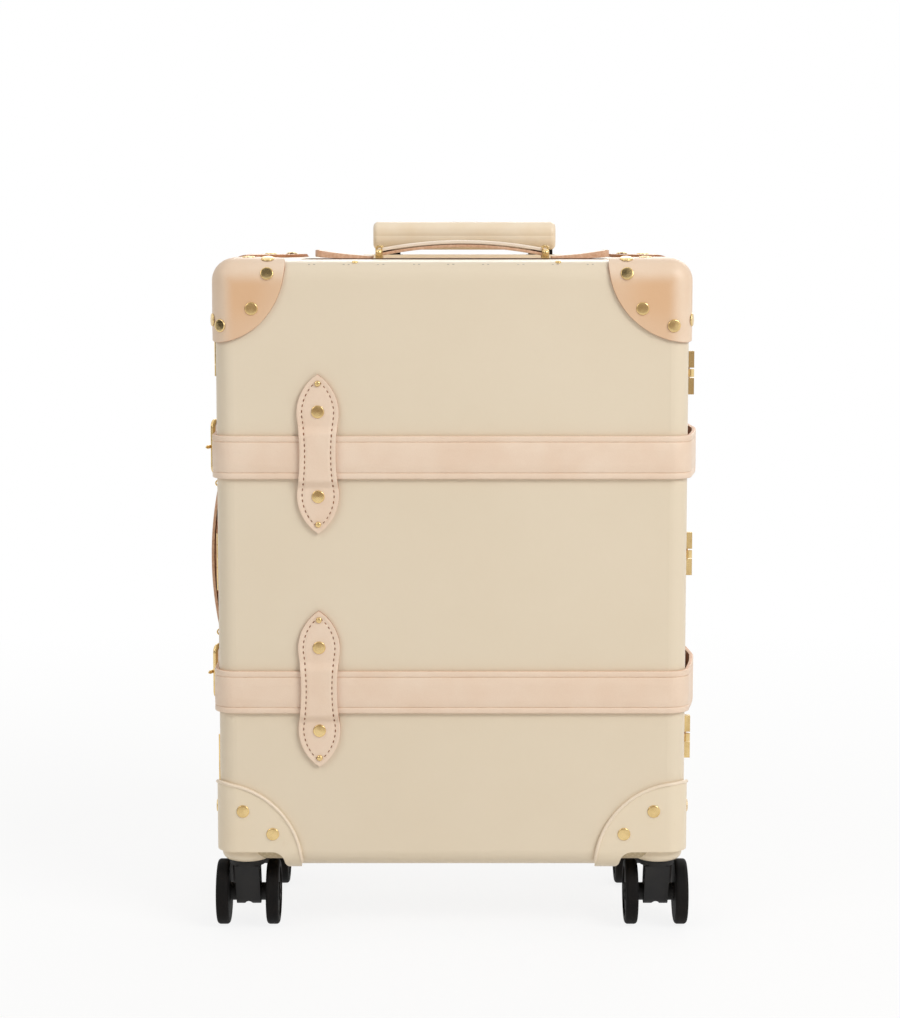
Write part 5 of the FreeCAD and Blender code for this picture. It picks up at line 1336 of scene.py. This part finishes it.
# %% Line the two halves
LINING_DEPTH = 3.3
LINING_SLACK = 0.9
LINING_THICK = 0.5
SLACK_LENGTH = 55.0
LINING_CUTS = (65, 17, 83)
LID_EDGE, BASE_EDGE = -25.4, -7.6


def finish_cloth(cloth, name, body, thick, offset=0, stands_for=(), **declared):
    cloth.data.flip_normals()
    clad(cloth, lining_cloth)
    thicken(cloth, thick, offset)
    smooth(cloth, 60)
    settle(cloth, name, body, stands_for)


def line_half(name, wall, rim, body, shell, node_name, flat, area):
    inner = Vector((2 * HALF_WIDTH, abs(rim - wall), TOP - BOTTOM))
    cloth = fresh_cube(Vector((0, (wall + rim) / 2, (TOP + BOTTOM) / 2)) * MM)
    cloth.scale = inner * MM
    bpy.ops.object.transform_apply(location=True, scale=True)
    cut_away(cloth, lambda side: side.normal.y * (rim - wall) > 0.5 * abs(rim - wall))
    cut_box(cloth, LINING_CUTS)
    for point in cloth.data.vertices:
        spot = point.co / MM
        slack = LINING_SLACK * (0.5 + 0.5 * noise.noise(spot / SLACK_LENGTH))
        point.co = on_trunk(spot, -LINING_DEPTH - slack) * MM
    finish_cloth(cloth, name, body, LINING_THICK, 1, [node_name],
                 flat=flat, held="laid", rests_on=[shell], area=area)


line_half("lid_twill", FRONT, LID_EDGE, "lid", "lid_shell", "lid_lining", (0.490, 0.598), 0.262)
line_half("base_twill", BACK, BASE_EDGE, "base", "base_shell", "base_lining", (0.556, 0.664), 0.314)

# %% [markdown]
# ## Inside: the handle cover and the lid pocket
# The tubes of the pull handle run down inside the base, and the maker hides them under a board covered
# with the lining twill: a flat ridge with sloping sides. The lid has a pocket, a panel of the same
# twill gathered on an elastic at the top. Both start as a grid. For the cover, each point falls back
# from the ridge by how far out it lies. For the pocket, waves that die out downwards make the gathers.

# %% Cover the tubes
COVER_MIDDLE, COVER_FLAT, COVER_FOOT, SLOPE_END = 10.0, 86.0, 122.0, 124.0
COVER_RIDGE, COVER_WALL = 39.6, 90.0
COVER_LOW, COVER_HIGH = 60.0, 518.0
COVER_THICK, COVER_RIPPLE, RIPPLE_LENGTH = 0.8, 0.5, 40
COVER_CUTS = (60, 60)

cover = fresh_grid(*COVER_CUTS)
for point in cover.data.vertices:
    off = abs(point.co.x) * COVER_FOOT
    slope = smoothstep(COVER_FLAT, SLOPE_END, off)
    height = (COVER_LOW + COVER_HIGH) / 2 + point.co.y * (COVER_HIGH - COVER_LOW) / 2
    ripple = COVER_RIPPLE * noise.noise(Vector((off, 0, height)) / RIPPLE_LENGTH)
    depth = COVER_RIDGE + (COVER_WALL - COVER_RIDGE) * slope - abs(ripple)
    point.co = Vector((COVER_MIDDLE + point.co.x * COVER_FOOT, depth, height)) * MM
finish_cloth(cover, "handle_cover", "base", COVER_THICK,
             flat=(0.300, 0.458), held="stretched", rests_on=["trolley_foot"])

# %% Gather the pocket
POCKET_HALF, POCKET_LOW, POCKET_HIGH = 158.0, 76.0, 292.0
POCKET_OFF, POCKET_BELLY, POCKET_SAG = 4.6, 5.0, 0.8
POCKET_THICK, POCKET_CUTS = 0.7, (276, 40)
GATHERS, GATHER_DEPTH, GATHER_LEAST = 23, 1.7, 0.25
STRAY, STRAY_COUNT = 0.8, 9

pocket = fresh_grid(*POCKET_CUTS)
for point in pocket.data.vertices:
    up = (point.co.y + 1) / 2
    edge = 1 - smoothstep(0.9, 1.0, abs(point.co.x))
    stray = STRAY * noise.noise(Vector((point.co.x * STRAY_COUNT, 0, up)))
    wave = math.sin(point.co.x * GATHERS * math.pi + stray)
    fold = GATHER_DEPTH * (GATHER_LEAST + (1 - GATHER_LEAST) * smoothstep(0.2, 1.0, up)) * wave * edge
    belly = POCKET_BELLY * math.sin(math.pi * clamp(up, 0, 1) ** POCKET_SAG) * edge
    depth = FRONT + LINING_DEPTH + POCKET_OFF + belly + fold * smoothstep(0, 0.15, up)
    height = POCKET_LOW + up * (POCKET_HIGH - POCKET_LOW)
    point.co = Vector((point.co.x * POCKET_HALF, depth, height)) * MM
finish_cloth(pocket, "lid_pocket", "lid", POCKET_THICK,
             flat=(0.327, 0.218), held="gathered", rests_on=["lid_twill"])

# %% Bind the pocket's top edge
BINDING_HIGH, BINDING_DEEP, BINDING_WAVE, BINDING_OVERLAP = 7.0, 5.2, 0.55, 1.0
BINDING_CUTS = (138, 0, 3)

binding = fresh_cube()
cut_box(binding, BINDING_CUTS)
for point in binding.data.vertices:
    share = 2 * point.co.x
    edge = 1 - smoothstep(0.9, 1.0, abs(share))
    wave = math.sin(share * GATHERS * math.pi) * BINDING_WAVE * edge
    depth = FRONT + LINING_DEPTH + POCKET_OFF + wave + point.co.y * BINDING_DEEP
    height = POCKET_HIGH - BINDING_OVERLAP + (point.co.z + 0.5) * BINDING_HIGH
    point.co = Vector((share * (POCKET_HALF + BINDING_OVERLAP), depth, height)) * MM
turn_outward(binding)
clad(binding, strap_leather)
round_edges(binding, 0.8, 2, 50)
smooth(binding, 45)
settle(binding, "pocket_binding", "lid")

# %% [markdown]
# ## Rolled edges and the seam's painted shade
# The press rolls the rim of each wheel housing into a small bead. The bead is given a paler cream than the
# housing, as a painted highlight along its roll. A dark rod laid along the seam at the top and the bottom
# paints the shade of the gap between lid and base. Both are thin rods that follow the trunk. A grid is
# wrapped into a tube, ring by ring along a path, and drawn to a point at both ends.

# %% Draw rods along the trunk
ROD_SIDES = 10
POINT_STEPS, POINT_GIRTH = 2.0, 0.02


def draw_rod(path, radius, name, body, finish):
    rod = fresh_grid(len(path) - 1, ROD_SIDES)
    last = len(path) - 1
    for point in rod.data.vertices:
        step = round((point.co.x + 1) / 2 * last)
        turn = math.pi * (point.co.y + 1)
        centre, outward = path[step]
        run = (path[min(step + 1, last)][0] - path[max(step - 1, 0)][0]).normalized()
        across = run.cross(outward).normalized()
        upward = across.cross(run)
        girth = radius * math.sqrt(clamp(min(step, last - step) / POINT_STEPS, POINT_GIRTH, 1.0))
        point.co = (centre + girth * (upward * math.cos(turn) + across * math.sin(turn))) * MM
    weld(rod, 0.001)
    bpy.ops.object.mode_set(mode="EDIT")
    bpy.ops.mesh.select_all(action="DESELECT")
    bpy.ops.mesh.select_non_manifold()
    bpy.ops.mesh.fill_holes(sides=0)
    turn_outward(rod)
    clad(rod, finish)
    bpy.ops.object.shade_smooth()
    settle(rod, name, body)


def on_skin(spot, lift):
    place = on_trunk(spot, lift)
    return place, (on_trunk(spot, lift + 1) - place).normalized()


# %% Roll the housing edges
# The bead's cream is paler than the housing's: a painted highlight along the roll.
bead_painted_highlight = moulded("lacquered_bead_painted_highlight", "#F0DFC8", "#E8D4B9", 1.2, 0.36, 0.5)
HOUSING_REACH, HOUSING_SHIFT = 67.0, 3.0
BEAD_RADIUS, BEAD_LIFT = 1.35, 2.2
BEAD_STEPS = 40


def roll_edge(half, side_name, side, face):
    corner = Vector((side * HALF_WIDTH + HOUSING_SHIFT * face, FRONT if face < 0 else BACK, BOTTOM))
    path = []
    for step in range(2 * BEAD_STEPS + 1):
        turn = math.pi / 2 * step / BEAD_STEPS
        if step <= BEAD_STEPS:
            spot = corner + HOUSING_REACH * Vector((-side * math.cos(turn), 0, math.sin(turn)))
        else:
            spot = corner + HOUSING_REACH * Vector((0, face * math.cos(turn), math.sin(turn)))
            spot.x = side * HALF_WIDTH
        if abs(spot.x) <= HALF_WIDTH:
            path.append(on_skin(spot, BEAD_LIFT))
    draw_rod(path, BEAD_RADIUS, f"{half}_housing_bead_{side_name}", half, bead_painted_highlight)


for half, face in HALVES.items():
    for side_name, side in SIDES.items():
        roll_edge(half, side_name, side, face)

# %% Lay the seam piping, a dark rod of painted shade along the gap
PIPING_Y, PIPING_RADIUS, PIPING_LIFT = -19.1, 0.75, 0.1
PIPING_STEPS = 30

for row, height, reach in (("top", TOP, 119.0), ("bottom", BOTTOM, 106.0)):
    places = [reach * (step / PIPING_STEPS - 1) for step in range(2 * PIPING_STEPS + 1)]
    path = [on_skin(Vector((x, PIPING_Y, height)), PIPING_LIFT) for x in places]
    draw_rod(path, PIPING_RADIUS, f"seam_piping_{row}", "base", seam_gap_shade)

# %% [markdown]
# ## Staples and small rivets
# Along the front of the top edge, pairs of steel staples hold the board to the frame inside, and two
# small brass rivets sit behind them. One staple back is a short bar with bevelled ends, and it is
# copied to each place on the rounded edge.

# %% Drive the staples and the two rivets
STAPLE_PAIRS = (-106.8, -80.5, -54.3, -27.0, -1.1, 25.4, 52.1, 78.3, 104.9)
STAPLE_GAP = 1.95
STAPLE_TILT = math.radians(34)
STAPLE_SIZE, STAPLE_ROUND = Vector((1.7, 0.75, 0.6)), 0.2
SMALL_RIVETS = (-74.1, 80.6)
RIVET_TILT = math.radians(20)
EDGE_HEAD = (4.6 * MM, 1.4 * MM)


def on_front_rounding(x, tilt):
    outward = Vector((0, -math.sin(tilt), math.cos(tilt)))
    middle = Vector((x, FRONT + EDGE_RADIUS, TOP - EDGE_RADIUS))
    return stand((middle + outward * EDGE_RADIUS) * MM, outward)


staple = fresh_cube()
staple.scale = STAPLE_SIZE * MM
bpy.ops.object.transform_apply(scale=True)
edit_all(staple)
bpy.ops.mesh.bevel(offset=STAPLE_ROUND * MM, segments=2, affect="EDGES")
bpy.ops.object.mode_set(mode="OBJECT")
clad(staple, staple_steel)
staple_places = [x + gap for x in STAPLE_PAIRS for gap in (-STAPLE_GAP, STAPLE_GAP)]
staple_spots = [on_front_rounding(x, STAPLE_TILT) for x in staple_places]
join_copies(staple, staple_spots, "edge_staples", "lid")
small_head = stamp_head(*EDGE_HEAD)
rivet_spots = [on_front_rounding(x, RIVET_TILT) for x in SMALL_RIVETS]
join_copies(small_head, rivet_spots, "edge_rivets", "lid")
for pattern in (staple, small_head):
    bpy.data.objects.remove(pattern)
